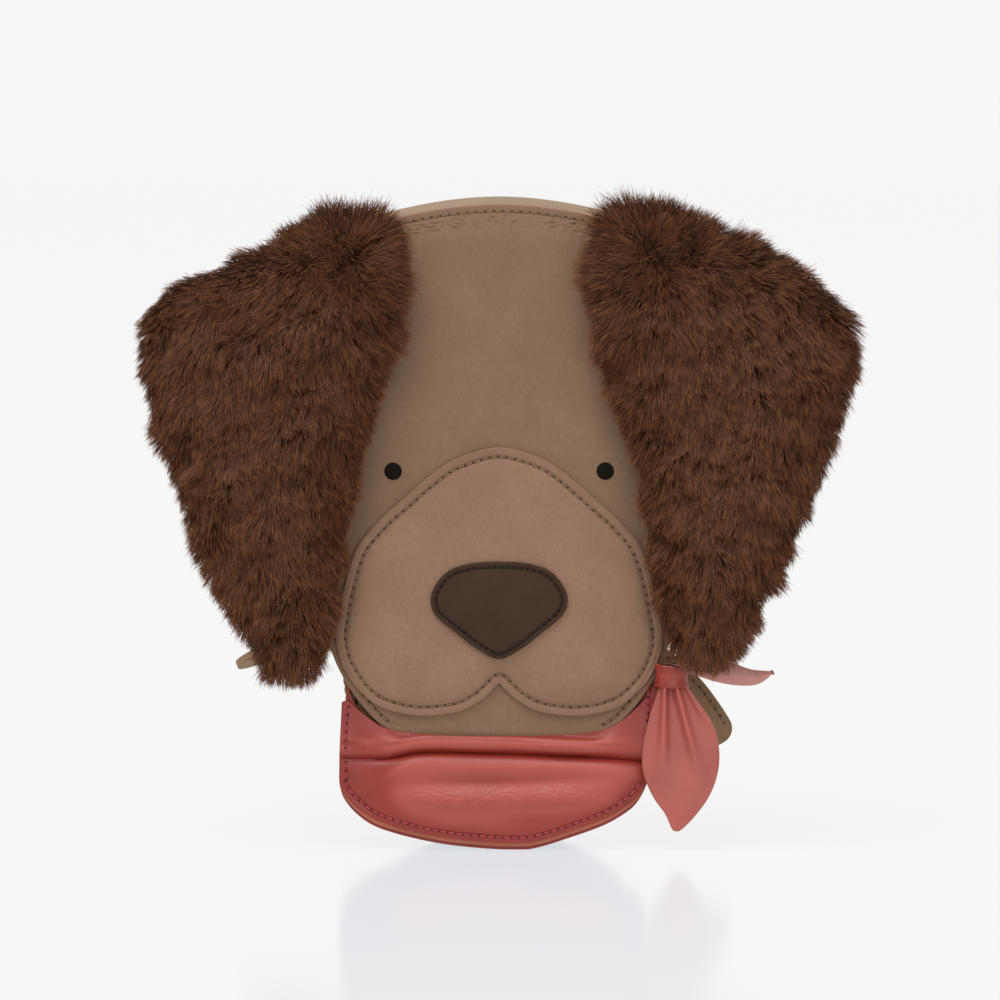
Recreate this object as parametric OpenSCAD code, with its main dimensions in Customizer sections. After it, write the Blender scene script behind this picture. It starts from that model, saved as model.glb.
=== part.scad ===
// Child's small leather bag in the shape of a puppy's head.
// A stitched pouch is closed by a flap that carries the face and two plush ears. A knotted
// bandana covers the bottom of the pouch, and two buckled straps are sewn to its back.
// X runs across the face, the face looks along -Y, +Z is up, and the bag stands on Z = 0.

/* [Head] */
// Height of the top of the face
face_top = 213; // [208:1:216]
// Radius of the arched crown
crown_r = 125; // [118:1:135]
// Half the width of the head at its widest
head_half_w = 72; // [71:0.5:74]
// Height of the chin's lowest point
chin_z = 38; // [38:0.1:40]

/* [Leather] */
// Thickness of the body leather
leather_t = 2; // [1.8:0.1:2]
// Thickness of the linings
lining_t = 0.8; // [0.6:0.1:0.8]

/* [Pouch] */
// Depth of the gusset between the front and back panels
gusset_depth = 36.8; // [34:0.2:40]
// Height of the pouch's mouth
mouth_z = 156; // [152:1:158]
// Height where the flap's side walls end, outside the gusset
flap_side_z = 146; // [144:1:150]
// Clearance between the flap's walls and the pouch
flap_gap = 0.5; // [0.4:0.1:0.8]

/* [Face] */
// Diameter of each eye disc
eye_d = 5.6; // [4:0.2:8]
// Distance between the eyes
eye_spacing = 69.6; // [64:0.2:74]
// Height of the eyes
eye_z = 125.7; // [118:0.1:134]
// Thickness of the padded muzzle patch
muzzle_t = 3; // [2:0.1:3]
// Thickness of the nose patch
nose_t = 2; // [1:0.1:3]
// Diameter of the magnetic snap's discs
snap_d = 12; // [10:0.5:14]

/* [Ears] */
// Thickness of the plush pad
ear_t = 21; // [16:0.5:24]
// Thickness of the suede behind the plush
ear_back_t = 1.6; // [1.2:0.1:1.6]

/* [Straps] */
// Width of the shoulder straps
strap_w = 12; // [10:0.5:12]
// Thickness of a strap, two layers sewn together
strap_t = 2.4; // [2:0.1:2.6]
// Diameter of the buckle's wire
wire_d = 2.2; // [1.8:0.1:2.4]
// Height of the buckle's frame between bar centres
buckle_h = 13; // [13:0.5:14]

/* [Hidden] */

// Layers from the back of the bag to the front of the nose
back_y = gusset_depth / 2;
front_y = -gusset_depth / 2;
pouch_front_y = front_y - leather_t;
lining_back_y = pouch_front_y - 2.2;
face_back_y = lining_back_y - lining_t;
face_front_y = face_back_y - leather_t;
muzzle_front_y = face_front_y - muzzle_t;
ear_back_y = muzzle_front_y - 0.6;
pouch_back_y = back_y + leather_t;
snap_t = 0.95;
snap_z = chin_z + 10;

STEPS = 5;          // spline steps between control points
crown_z = face_top - crown_r;
function on_crown(x) = [x, crown_z + sqrt(crown_r * crown_r - x * x)];

// Half outlines, from the top centre down the right side to the bottom centre
FACE_HALF = [
  on_crown(0), on_crown(26), on_crown(48), [65, 189], [head_half_w, 168], [head_half_w, 145],
  [69, 120], [64, 96], [58, 76], [54, 63], [49.5, 54.5], [44.5, 47.5], [37.5, chin_z + 3.3],
  [29, chin_z + 1], [15, chin_z + 0.1], [0, chin_z]
];
BACK_HALF = [
  on_crown(0) + [0, 1], on_crown(26) + [0, 1], on_crown(48) + [0, 0.5], [64, 189.5],
  [70.5, 168], [70, 145], [66.5, 120], [61, 96], [55.5, 76], [51.5, 58], [49, 42], [46, 26],
  [38, 10], [22, 0.5], [0, 0]
];

// Walls of the pouch at the back and at the front, from the left mouth round the bottom
GUSSET_BACK = [
  [-69, mouth_z], [-66, 124], [-61, 98], [-55.5, 76], [-51.5, 58], [-49, 42], [-46, 26],
  [-38, 10], [-22, 0.5], [0, 0], [22, 0.5], [38, 10], [46, 26], [49, 42], [51.5, 58],
  [55.5, 76], [61, 98], [66, 124], [69, mouth_z]
];
GUSSET_FRONT = [
  [-69, mouth_z], [-66, 124], [-61, 98], [-55.5, 76], [-51.5, 58], [-50, 42], [-50.5, 27],
  [-43, 13], [-22, 4.6], [6, 1.2], [27, 7], [42, 14], [49, 27], [49, 42], [51, 58],
  [55.5, 76], [61, 98], [66, 124], [69, mouth_z]
];
MOUTH_DIP = [[34, mouth_z - 6], [0, mouth_z - 9], [-34, mouth_z - 6]];

// Flap's wall, from the right end over the crown to the left end
CROWN_WALL_HALF = [
  on_crown(0), on_crown(26), on_crown(48), [65, 189], [head_half_w, 168],
  [head_half_w, flap_side_z + 8], [head_half_w, flap_side_z]
];

MUZZLE_TOP_HALF = [[0, 133.5], [13.5, 130], [21.6, 125], [32, 116], [40, 108.7], [48, 97.5]];
MUZZLE_LOBE = [
  [53.5, 73], [51.5, 61.5], [46, 53.2], [38.4, 47.6], [26.5, 45], [14, 46.2], [7, 49.5],
  [3.2, 52.6]
];
NOSE_HALF = [
  [0, 96.2], [10, 95.5], [17.5, 92.5], [22.2, 85.5], [21, 79], [13.5, 72.5], [7, 67.5],
  [0, 64.2]
];

// Bandana, seen from the front
FOLD_TOP = [
  [-50.9, 53.4], [-45.5, 46.3], [-38, chin_z + 2.3], [-29, chin_z + 0.1], [-15, chin_z - 0.8],
  [0, chin_z - 0.9], [15, chin_z - 0.8], [29, chin_z + 0.1], [38, chin_z + 2.3], [45.5, 46.3],
  [50.9, 53.4]
];
FOLD_BOTTOM = [[50.5, 29.6], [30, 31.3], [0, 32.6], [-24, 32.8], [-36, 30.8], [-52.6, 30.8]];
PANEL_TOP = [[-52.8, 30.4], [-36, 30.4], [-24, 32.4], [0, 32.2], [30, 30.9], [50.5, 29.2]];
PANEL_BOTTOM = [
  [50.2, 23.5], [47, 17.5], [36, 9], [24, 4.2], [7, 0], [-6, 0.8], [-20, 3], [-34, 6.9],
  [-44, 11.7], [-50.7, 17.4], [-52.8, 24]
];
LEAF_HALF_WIDTHS = [
  [53.4, 4.2], [48, 6.6], [40, 10.2], [31, 12.4], [24, 11.6], [16, 7.6], [10, 2.9], [7, 0.6]
];
TAIL = [
  [63.4, 60.5], [70, 61.5], [77, 61.5], [84, 60], [90.4, 59.6], [88, 56.6], [81, 54.8],
  [75, 56], [69, 57.8], [63.4, 57]
];

// Ears, from the inner end of the seam round to its outer end
EAR_RIGHT = [
  [38, 207], [33.5, 190], [36.5, 168], [43, 146], [49, 121], [52.5, 95], [56.5, 74],
  [64, 66], [74, 66], [82, 80], [92, 99], [102, 122], [110, 145], [114.5, 163], [112, 178],
  [99, 189], [82, 199], [66, 206], [51, 211]
];
EAR_LEFT = [
  [-38, 205], [-34.5, 190], [-38, 169], [-44, 147], [-50, 121], [-54.5, 94], [-57, 74],
  [-62, 63], [-70, 60], [-77, 67], [-85, 80], [-94, 98], [-102, 118], [-107.5, 135],
  [-112, 151], [-114.5, 168], [-111, 181], [-92, 191], [-75, 198], [-62, 206], [-50, 209]
];
// Seam of the right ear, from its inner to its outer end, and the welt that is sewn into it
EAR_SEAM = [[36, 208], [68, 191]];
welt_r = 1.6;
EAR_PROFILE = [[0, 0.84], [0.12, 0.93], [0.32, 0.985], [0.55, 1], [0.78, 0.95], [0.93, 0.84],
  [1, 0.7]];

// Straps: centre of the buckle's lower bar, then the routes, each point with a width direction
BUCKLE_Y = 42;
BUCKLE_RIGHT = [48, BUCKLE_Y, 74];
BUCKLE_LEFT = [-48, BUCKLE_Y, 88];
keeper_drop = 8.5;
keeper_h = 5;
sleeve_r = wire_d / 2 + 2;
over_bar = sleeve_r + strap_t / 2 + 0.5;
under_bar = wire_d / 2 + strap_t / 2 + 0.2;
slot_w = 3;
prong_d = 1.8;
sewn_y = pouch_back_y + strap_t / 2 + 0.1;

function strap_route(s, b, tail) = concat([
  [s * 13, sewn_y, 202, 1, 0, 0],
  [s * 13, sewn_y, 194, 1, 0, 0],
  [s * 13, sewn_y, 188, 1, 0, 0],
  [s * 13, sewn_y, 182, 1, 0, 0],
  [s * 13.3, sewn_y + 0.6, 177, 1, 0, 0],
  [s * 16, 28.4, 165, 1, 0, 0.1 * s],
  [s * 25, 39, 142, 1, 0, 0.3 * s],
  [s * 37, 43.5, 115, 1, 0, 0.3 * s],
  [b[0] - s * 1.5, b[1] - under_bar + 0.6, b[2] + buckle_h + 7, 1, 0, 0.1 * s],
  [b[0], b[1] - under_bar, b[2] + buckle_h, 1, 0, 0],
  [b[0], b[1] + over_bar, b[2], 1, 0, 0],
  [b[0], b[1] + over_bar - 0.5, b[2] - 7, 1, 0, 0],
  [b[0] + s * 0.3, b[1] + over_bar - 0.9, b[2] - 13.5, 1, 0, 0.05 * s]
], tail);
TAIL_RIGHT = [
  [54, 43, 55.5, 1, 0, 0.6], [63.5, 38, 47.5, 1, 0, 0.7], [70.5, 35, 38.5, 1, 0, 0.7],
  [76, 34, 29.5, 1, 0, 0.6]
];
TAIL_LEFT = [
  [-56, 44, 69.5, 1, 0.3, -1], [-67, 41, 64.5, 0.3, 0.8, -0.8], [-79, 37, 60, 0.2, 1, -0.4],
  [-89, 35, 56, 0.2, 1, -0.2]
];
function tab_route(s, b) = [
  [s * 33, sewn_y, 14, 1, 0, 0],
  [s * 33.6, sewn_y, 20, 1, 0, 0],
  [s * 34.4, sewn_y, 26, 1, 0, 0],
  [s * 35.2, sewn_y + 0.6, 31, 1, 0, 0],
  [s * 39.5, 28, (b[2] + 31) / 2 - 4, 1, 0, 0.1 * s],
  [b[0] - s * 0.5, b[1] - 3, b[2] - 17, 1, 0, 0],
  [b[0], b[1] - 0.6, b[2] - 10, 1, 0, 0],
  [b[0], b[1], b[2] - sleeve_r + 0.4, 1, 0, 0]
];
LOOP_ROUTE = [
  [0, pouch_back_y + 1, 190, 1, 0, 0], [0, pouch_back_y + 1, 198, 1, 0, 0],
  [0, pouch_back_y + 1.15, 204, 1, 0, 0], [0, pouch_back_y + 3.8, 209.6, 1, 0, 0],
  [0, pouch_back_y + 8.4, 209.8, 1, 0, 0],
  [0, pouch_back_y + 10.6, 205, 1, 0, 0], [0, pouch_back_y + 8, 198.4, 1, 0, 0],
  [0, pouch_back_y + 5.8, 192, 1, 0, 0], [0, pouch_back_y + 5.4, 184, 1, 0, 0]
];
loop_w = 9;
loop_t = 1.6;

// ---- Curves -----------------------------------------------------------------------------

function cr(a, b, c, d, t) = 0.5 * (2 * b + (c - a) * t + (2 * a - 5 * b + 4 * c - d) * t * t
  + (3 * b - a - 3 * c + d) * t * t * t);

// A smooth open curve through points p, with n steps between two of them
function open_curve(p, n = STEPS) = concat(
  [for (i = [0:len(p) - 2], k = [0:n - 1])
    cr(p[max(i - 1, 0)], p[i], p[i + 1], p[min(i + 2, len(p) - 1)], k / n)],
  [p[len(p) - 1]]);

// A smooth closed curve through points p
function closed_curve(p, n = STEPS) = let (m = len(p)) [for (i = [0:m - 1], k = [0:n - 1])
  cr(p[(i + m - 1) % m], p[i], p[(i + 1) % m], p[(i + 2) % m], k / n)];

// A half outline that starts and ends on the centre line, completed by its mirror image
function both_halves(half) = concat(half,
  [for (i = [len(half) - 2:-1:1]) [-half[i][0], half[i][1]]]);

function above_floor(p) = [for (q = p) [q[0], max(0, q[1])]];
function unit(v) = v / norm(v);
function left_normal(p, i) = let (
  t = unit(p[min(i + 1, len(p) - 1)] - p[max(i - 1, 0)])) [-t[1], t[0]];
function about(p, c, s) = [for (q = p) c + (q - c) * s];
function middle(p) = [for (k = [0:1]) (max([for (q = p) q[k]]) + min([for (q = p) q[k]])) / 2];
function at_y(p, y) = [for (q = p) [q[0], y, q[1]]];
function reversed(p) = [for (i = [len(p) - 1:-1:0]) p[i]];

// The path moved inward by t, and the closed strip between the two
function inner(p, t) = [for (i = [0:len(p) - 1]) p[i] + left_normal(p, i) * t];
function strip(p, t) = concat(p, reversed(inner(p, t)));

// A closed outline turned so that it runs counter-clockwise
function doubled_area(p) = let (n = len(p))
  [for (i = [0:n - 1]) cross(p[i], p[(i + 1) % n])] * [for (i = [0:n - 1]) 1];
function ccw(p) = doubled_area(p) > 0 ? p : reversed(p);

// ---- Solids -----------------------------------------------------------------------------

// The faces that close a ring of n points: one face for a plain outline, or pairs of triangles
// across a strip, whose points run along one side and back along the other
whole_cap = function (n) [[for (i = [0:n - 1]) i]];
strip_cap = function (n) [for (i = [0:n / 2 - 2])
  each [[i, i + 1, n - 2 - i], [i, n - 2 - i, n - 1 - i]]];

// A closed solid through a list of rings with the same number of points
module loft(rings, cap = whole_cap) {
  n = len(rings[0]);
  m = len(rings);
  polyhedron([for (r = rings) each r], concat(
    cap(n),
    [for (f = cap(n)) [for (i = reversed(f)) (m - 1) * n + i]],
    [for (j = [0:m - 2], i = [0:n - 1]) [j * n + i, (j + 1) * n + i, (j + 1) * n + (i + 1) % n]],
    [for (j = [0:m - 2], i = [0:n - 1])
      [j * n + i, (j + 1) * n + (i + 1) % n, j * n + (i + 1) % n]]));
}

// A flat piece cut to an outline, from y_back forward by its thickness
module flat_piece(outline, y_back, t) {
  translate([0, y_back, 0]) rotate([90, 0, 0]) linear_extrude(t) polygon(outline);
}

// A wall of thickness t, set in from a path and spanning y0 to y1. The path turns from its
// front shape to its back shape over the first part of the depth.
module wall(front, back, t, y0, y1, inset = 0, turn = 16, rows = 6) {
  loft([for (k = [rows:-1:0]) let (
    y = y0 + (y1 - y0) * k / rows,
    s = min(1, (y - y0) / turn),
    path = [for (i = [0:len(front) - 1]) front[i] * (1 - s) + back[i] * s])
    at_y(strip(inset > 0 ? inner(path, inset) : path, t), y)], strip_cap);
}

// A padded piece: an outline scaled about its middle at each level of the profile
module pillow(outline, y_back, t, profile) {
  c = middle(outline);
  loft([for (q = profile) at_y(about(ccw(outline), c, q[1]), y_back - t * q[0])]);
}

// A strap along a route whose points carry a width direction after their position
module ribbon(route, w, t, n = STEPS) {
  r = open_curve(route, n);
  pos = [for (q = r) [q[0], q[1], q[2]]];
  loft([for (i = [0:len(r) - 1]) let (
    d = unit(pos[min(i + 1, len(r) - 1)] - pos[max(i - 1, 0)]),
    raw = [r[i][3], r[i][4], r[i][5]],
    a = unit(raw - d * (raw * d)) * w / 2,
    b = unit(cross(d, a)) * t / 2)
    [pos[i] + a + b, pos[i] - a + b, pos[i] - a - b, pos[i] + a - b]]);
}

module bar(length, d) {
  rotate([0, 90, 0]) cylinder(h = length, d = d, center = true, $fn = 24);
}

// ---- Outlines ---------------------------------------------------------------------------

FACE = closed_curve(both_halves(FACE_HALF));
BACK = above_floor(closed_curve(both_halves(BACK_HALF)));
WALL_BACK = above_floor(open_curve(GUSSET_BACK));
WALL_FRONT = above_floor(open_curve(GUSSET_FRONT));
POUCH_FRONT = concat(WALL_FRONT, open_curve(MOUTH_DIP));
CROWN_WALL = open_curve(concat(
  [for (i = [len(CROWN_WALL_HALF) - 1:-1:1]) CROWN_WALL_HALF[i]],
  [for (q = CROWN_WALL_HALF) [-q[0], q[1]]]));
MUZZLE = concat(
  open_curve(concat([for (i = [5:-1:1]) [-MUZZLE_TOP_HALF[i][0], MUZZLE_TOP_HALF[i][1]]],
    MUZZLE_TOP_HALF, MUZZLE_LOBE)),
  [[0, 56]],
  open_curve(concat([for (i = [len(MUZZLE_LOBE) - 1:-1:0]) [-MUZZLE_LOBE[i][0], MUZZLE_LOBE[i][1]]],
    [[-MUZZLE_TOP_HALF[5][0] - 1, MUZZLE_TOP_HALF[5][1] - 2]])));
FOLD = concat(open_curve(FOLD_TOP), open_curve(FOLD_BOTTOM));
PANEL = concat(open_curve(PANEL_TOP), open_curve(PANEL_BOTTOM));
BACKING = concat(about(open_curve(FOLD_TOP), [0, 40], 0.985), open_curve(PANEL_BOTTOM));
LEAF = let (side = open_curve(LEAF_HALF_WIDTHS, 4), x = 58.8) concat(
  [for (q = side) [x + q[1], q[0]]],
  [for (q = reversed(side)) [x - q[1], q[0]]]);

// ---- Pouch ------------------------------------------------------------------------------

module gusset() {
  color("#8a6d58") wall(WALL_FRONT, WALL_BACK, leather_t, front_y, back_y);
}

module front_panel() {
  color("#84694f") flat_piece(POUCH_FRONT, front_y, leather_t);
}

module back_panel() {
  color("#866a54") flat_piece(BACK, pouch_back_y, leather_t);
}

// Three sewn pieces of cloth: one round the walls, one on the front and one on the back
module pouch_lining() {
  inset = leather_t + 0.4;
  color("#d9c9ae") {
    wall(WALL_FRONT, WALL_BACK, lining_t, front_y + lining_t + 0.1, back_y - lining_t - 0.1, inset);
    flat_piece(mouth_cut(inner(WALL_FRONT, inset + 0.3)), front_y + lining_t + 0.05, lining_t);
    flat_piece(mouth_cut(inner(WALL_BACK, inset + 0.3)), back_y - 0.05, lining_t);
  }
}
function mouth_cut(p) = [for (q = p) [q[0], min(q[1], mouth_z - 10)]];

module bandana_backing() {
  color("#9d5445") flat_piece(BACKING, pouch_front_y, leather_t);
}

module bandana_panel() {
  color("#af5a52") pillow(PANEL, pouch_front_y - leather_t, 6.2,
    [[0, 1], [0.3, 1], [0.7, 0.93], [1, 0.78]]);
}

module bandana_fold() {
  color("#ad554b") flat_piece(FOLD, pouch_front_y - leather_t, 5.4);
}

module knot_band() {
  color("#a95149") flat_piece([[54.2, 61.6], [62.2, 60], [61.6, 54.3], [52, 54.6]],
    pouch_front_y - 1.6, 11);
}

module scarf_tail() {
  color("#986762") flat_piece(closed_curve(TAIL), face_back_y, 1.8);
}

module snap_socket() {
  color("#b8b2a6") translate([0, pouch_front_y, snap_z]) rotate([90, 0, 0])
    cylinder(h = snap_t, d = snap_d, $fn = 48);
}

// ---- Straps -----------------------------------------------------------------------------

module anchor_patch() {
  color("#7b5f4a") translate([0, pouch_back_y + strap_t + 0.2 + leather_t, 193]) rotate([90, 0, 0])
    linear_extrude(leather_t) offset(r = 4, $fn = 32) square([38, 14], center = true);
}

module hang_loop() {
  color("#866a54") ribbon(LOOP_ROUTE, loop_w, loop_t);
}

module strap(side, buckle, tail) {
  color("#7b5f45") difference() {
    ribbon(strap_route(side, buckle, tail), strap_w, strap_t);
    translate(buckle + [-slot_w / 2, -4, 0.4]) cube([slot_w, 12, buckle_h - 3.4]);
  }
}

module strap_left() {
  strap(-1, BUCKLE_LEFT, TAIL_LEFT);
}

module strap_right() {
  strap(1, BUCKLE_RIGHT, TAIL_RIGHT);
}

module strap_tab(side, buckle) {
  color("#7b5f45") difference() {
    union() {
      ribbon(tab_route(side, buckle), strap_w, strap_t);
      translate(buckle) bar(strap_w, 2 * sleeve_r);
    }
    translate(buckle) bar(strap_w + 2, wire_d + 0.1);
    translate(buckle) bar(3.4, 2 * sleeve_r + 2);
  }
}

module strap_tab_left() {
  strap_tab(-1, BUCKLE_LEFT);
}

module strap_tab_right() {
  strap_tab(1, BUCKLE_RIGHT);
}

module buckle_frame(p) {
  half = strap_w / 2 + 1 + wire_d / 2;
  color("#c9b27c") translate(p) union() {
    bar(2 * half, wire_d);
    translate([0, 0, buckle_h]) bar(2 * half, wire_d);
    for (s = [-1, 1]) translate([s * half, 0, 0]) {
      cylinder(h = buckle_h, d = wire_d, $fn = 24);
      sphere(d = wire_d, $fn = 24);
      translate([0, 0, buckle_h]) sphere(d = wire_d, $fn = 24);
    }
  }
}

module buckle_left() {
  buckle_frame(BUCKLE_LEFT);
}

module buckle_right() {
  buckle_frame(BUCKLE_RIGHT);
}

// A leather loop that holds the strap's end against its tab
module keeper(p) {
  low = p[1] - 2 - strap_t / 2;
  high = p[1] + over_bar + 0.3 + strap_t / 2;
  color("#7b5f45") translate([p[0], (low + high) / 2, p[2] - keeper_drop - keeper_h / 2])
    linear_extrude(keeper_h) difference() {
      square([strap_w + 5.6, high - low + 2.4], center = true);
      square([strap_w + 3, high - low], center = true);
    }
}

module keeper_left() {
  keeper(BUCKLE_LEFT);
}

module keeper_right() {
  keeper(BUCKLE_RIGHT);
}

// The prong turns on the buckle's lower bar and lies on its upper bar
module prong(p) {
  lean = atan((wire_d / 2 + prong_d / 2 + 0.2) / buckle_h);
  color("#bfa872") translate(p) difference() {
    union() {
      bar(2.6, wire_d + 2);
      rotate([-lean, 0, 0]) cylinder(h = buckle_h + 3.2, d = prong_d, $fn = 24);
    }
    bar(6, wire_d + 0.1);
  }
}

module prong_left() {
  prong(BUCKLE_LEFT);
}

module prong_right() {
  prong(BUCKLE_RIGHT);
}

// ---- Flap -------------------------------------------------------------------------------

module flap_crown() {
  depth = back_y - flap_gap - face_back_y;
  color("#8a6d58") flat_piece(strip(CROWN_WALL, leather_t), back_y - flap_gap, depth);
}

module face_panel() {
  color("#8a6d58") flat_piece(FACE, face_back_y, leather_t);
}

module flap_lining() {
  color("#cdb999") flat_piece(about(FACE, middle(FACE), 0.955), lining_back_y, lining_t);
}

module muzzle_patch() {
  color("#96765f") flat_piece(MUZZLE, face_front_y, muzzle_t);
}

module nose_patch() {
  color("#463428") flat_piece(closed_curve(both_halves(NOSE_HALF)), muzzle_front_y, nose_t);
}

module eye(x) {
  color("#19160d") translate([x, face_front_y, eye_z]) rotate([90, 0, 0])
    cylinder(h = 0.6, d = eye_d, $fn = 48);
}

module eye_left() {
  eye(-eye_spacing / 2);
}

module eye_right() {
  eye(eye_spacing / 2);
}

module snap_stud() {
  color("#b8b2a6") translate([0, lining_back_y + snap_t, snap_z]) rotate([90, 0, 0])
    cylinder(h = snap_t, d = snap_d, $fn = 48);
}

// ---- Ears and scarf ---------------------------------------------------------------------

module ear_plush(outline) {
  color("#5a3f2e") pillow(closed_curve(outline, 3), ear_back_y - ear_back_t, ear_t, EAR_PROFILE);
}

module ear_back(outline) {
  color("#7d5f4c") flat_piece(about(closed_curve(outline, 3), middle(outline), 0.84),
    ear_back_y, ear_back_t);
}

// A rolled strip of leather on the face, which the ear's seam folds around
module ear_welt(side) {
  a = [side * EAR_SEAM[0][0], face_front_y - welt_r - 0.1, EAR_SEAM[0][1]];
  d = [side * (EAR_SEAM[1][0] - EAR_SEAM[0][0]), 0, EAR_SEAM[1][1] - EAR_SEAM[0][1]];
  color("#6a5040") translate(a) rotate([0, atan2(d[0], d[2]), 0])
    cylinder(h = norm(d), r = welt_r, $fn = 32);
}

module ear_welt_left() {
  ear_welt(-1);
}

module ear_welt_right() {
  ear_welt(1);
}

module ear_plush_left() {
  ear_plush(EAR_LEFT);
}

module ear_back_left() {
  ear_back(EAR_LEFT);
}

module ear_plush_right() {
  ear_plush(EAR_RIGHT);
}

module ear_back_right() {
  ear_back(EAR_RIGHT);
}

module scarf_leaf() {
  color("#a9514d") flat_piece(LEAF, pouch_front_y - leather_t - 6.6, 2.6);
}

gusset();
front_panel();
back_panel();
pouch_lining();
bandana_backing();
bandana_panel();
bandana_fold();
knot_band();
scarf_tail();
snap_socket();
anchor_patch();
hang_loop();
strap_left();
strap_right();
strap_tab_left();
strap_tab_right();
buckle_left();
buckle_right();
keeper_left();
keeper_right();
prong_left();
prong_right();
flap_crown();
face_panel();
flap_lining();
muzzle_patch();
nose_patch();
eye_left();
eye_right();
snap_stud();
ear_welt_left();
ear_welt_right();
ear_plush_left();
ear_back_left();
ear_plush_right();
ear_back_right();
scarf_leaf();
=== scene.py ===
"""Looks of a child's small leather bag shaped like a puppy's head: stitched leather panels with
raw edges, a pleated bandana, plush ears made of real strands, and buckled straps at the back.

Everything is drawn in millimetres in the frame's axes and scaled to metres as a mesh is made.
Most depths along Y come from the CAD nodes' own boxes.
"""

import math

import bmesh
import bpy
import numpy as np
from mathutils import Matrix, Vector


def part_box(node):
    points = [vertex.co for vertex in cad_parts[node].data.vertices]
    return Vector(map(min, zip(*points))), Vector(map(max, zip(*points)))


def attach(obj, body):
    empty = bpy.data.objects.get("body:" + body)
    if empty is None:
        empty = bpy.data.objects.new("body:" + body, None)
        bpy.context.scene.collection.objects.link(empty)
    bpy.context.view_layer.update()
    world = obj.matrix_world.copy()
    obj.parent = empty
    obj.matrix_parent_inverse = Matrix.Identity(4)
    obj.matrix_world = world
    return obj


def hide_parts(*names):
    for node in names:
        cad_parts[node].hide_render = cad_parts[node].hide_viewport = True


MM = 0.001
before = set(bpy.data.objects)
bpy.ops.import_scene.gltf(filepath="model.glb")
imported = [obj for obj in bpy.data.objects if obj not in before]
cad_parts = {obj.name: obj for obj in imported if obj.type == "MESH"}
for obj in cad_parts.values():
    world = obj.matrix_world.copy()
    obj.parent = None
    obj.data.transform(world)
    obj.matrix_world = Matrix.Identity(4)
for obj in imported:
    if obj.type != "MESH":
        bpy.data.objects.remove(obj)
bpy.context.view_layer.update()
RNG = np.random.default_rng(7)
BATCH = 4000  # points compared at once in a nearest search
FRONT, REAR = (0.0, -1.0, 0.0), (0.0, 1.0, 0.0)


def front_of(node):
    """The Y of a CAD node's front, in millimetres."""
    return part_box(node)[0].y / MM


def back_of(node):
    """The Y of a CAD node's back, in millimetres."""
    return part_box(node)[1].y / MM


# ---- Camera, light and floor ------------------------------------------------------------

CAMERA_ASIDE = 0.0003
CAMERA_DISTANCE = 2.0
CAMERA_HEIGHT = 0.2469
CAMERA_TILT = 3.79
CAMERA_LENS = 216.65
WORLD_LIGHT = 0.36
BACKDROP = 0.92
FLOOR_GLOW = 0.846
FLOOR_SHADE = (0.08, 0.08, 0.08)
FLOOR_GLOSS = (0.25, 0.20, 0.145)
FLOOR_ROUGHNESS = 0.13
REFLECTION_GONE, REFLECTION_WHOLE = -0.8, -0.05


def make_camera():
    """A long lens that looks a little down at the front."""
    cam = bpy.data.objects.new("camera", bpy.data.cameras.new("camera"))
    bpy.context.scene.collection.objects.link(cam)
    cam.location = (CAMERA_ASIDE, -CAMERA_DISTANCE, CAMERA_HEIGHT)
    cam.rotation_euler = (math.radians(90 - CAMERA_TILT), 0, 0)
    cam.data.lens = CAMERA_LENS
    cam.data.clip_start = 0.05
    bpy.context.scene.camera = cam


def soft_sun(name, strength, angle, elevation, azimuth):
    """A distant soft box: azimuth 0 is in front of the bag, 90 is on its +X side."""
    light = bpy.data.lights.new(name, "SUN")
    light.energy = strength
    light.angle = math.radians(angle)
    sun = bpy.data.objects.new(name, light)
    sun.rotation_euler = (math.radians(90 - elevation), 0, math.radians(azimuth))
    bpy.context.scene.collection.objects.link(sun)


def make_studio():
    """White surroundings that look brighter than they light, and three soft lights."""
    bpy.context.scene.view_settings.view_transform = "Standard"
    world = bpy.data.worlds.new("studio")
    bpy.context.scene.world = world
    world.use_nodes = True
    nodes, links = world.node_tree.nodes, world.node_tree.links
    background = nodes["Background"]
    path = nodes.new("ShaderNodeLightPath")
    seen = nodes.new("ShaderNodeMath")
    seen.operation = "MAXIMUM"
    links.new(path.outputs["Is Camera Ray"], seen.inputs[0])
    links.new(path.outputs["Is Glossy Ray"], seen.inputs[1])
    level = nodes.new("ShaderNodeMapRange")
    level.inputs["To Min"].default_value = WORLD_LIGHT
    level.inputs["To Max"].default_value = BACKDROP
    links.new(seen.outputs[0], level.inputs["Value"])
    links.new(level.outputs["Result"], background.inputs["Strength"])
    background.inputs["Color"].default_value = (1, 1, 1, 1)
    soft_sun("key", 1.9, 40, 60, -28)
    soft_sun("front", 0.9, 60, 25, 12)
    soft_sun("rim", 0.35, 50, 40, 150)


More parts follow.
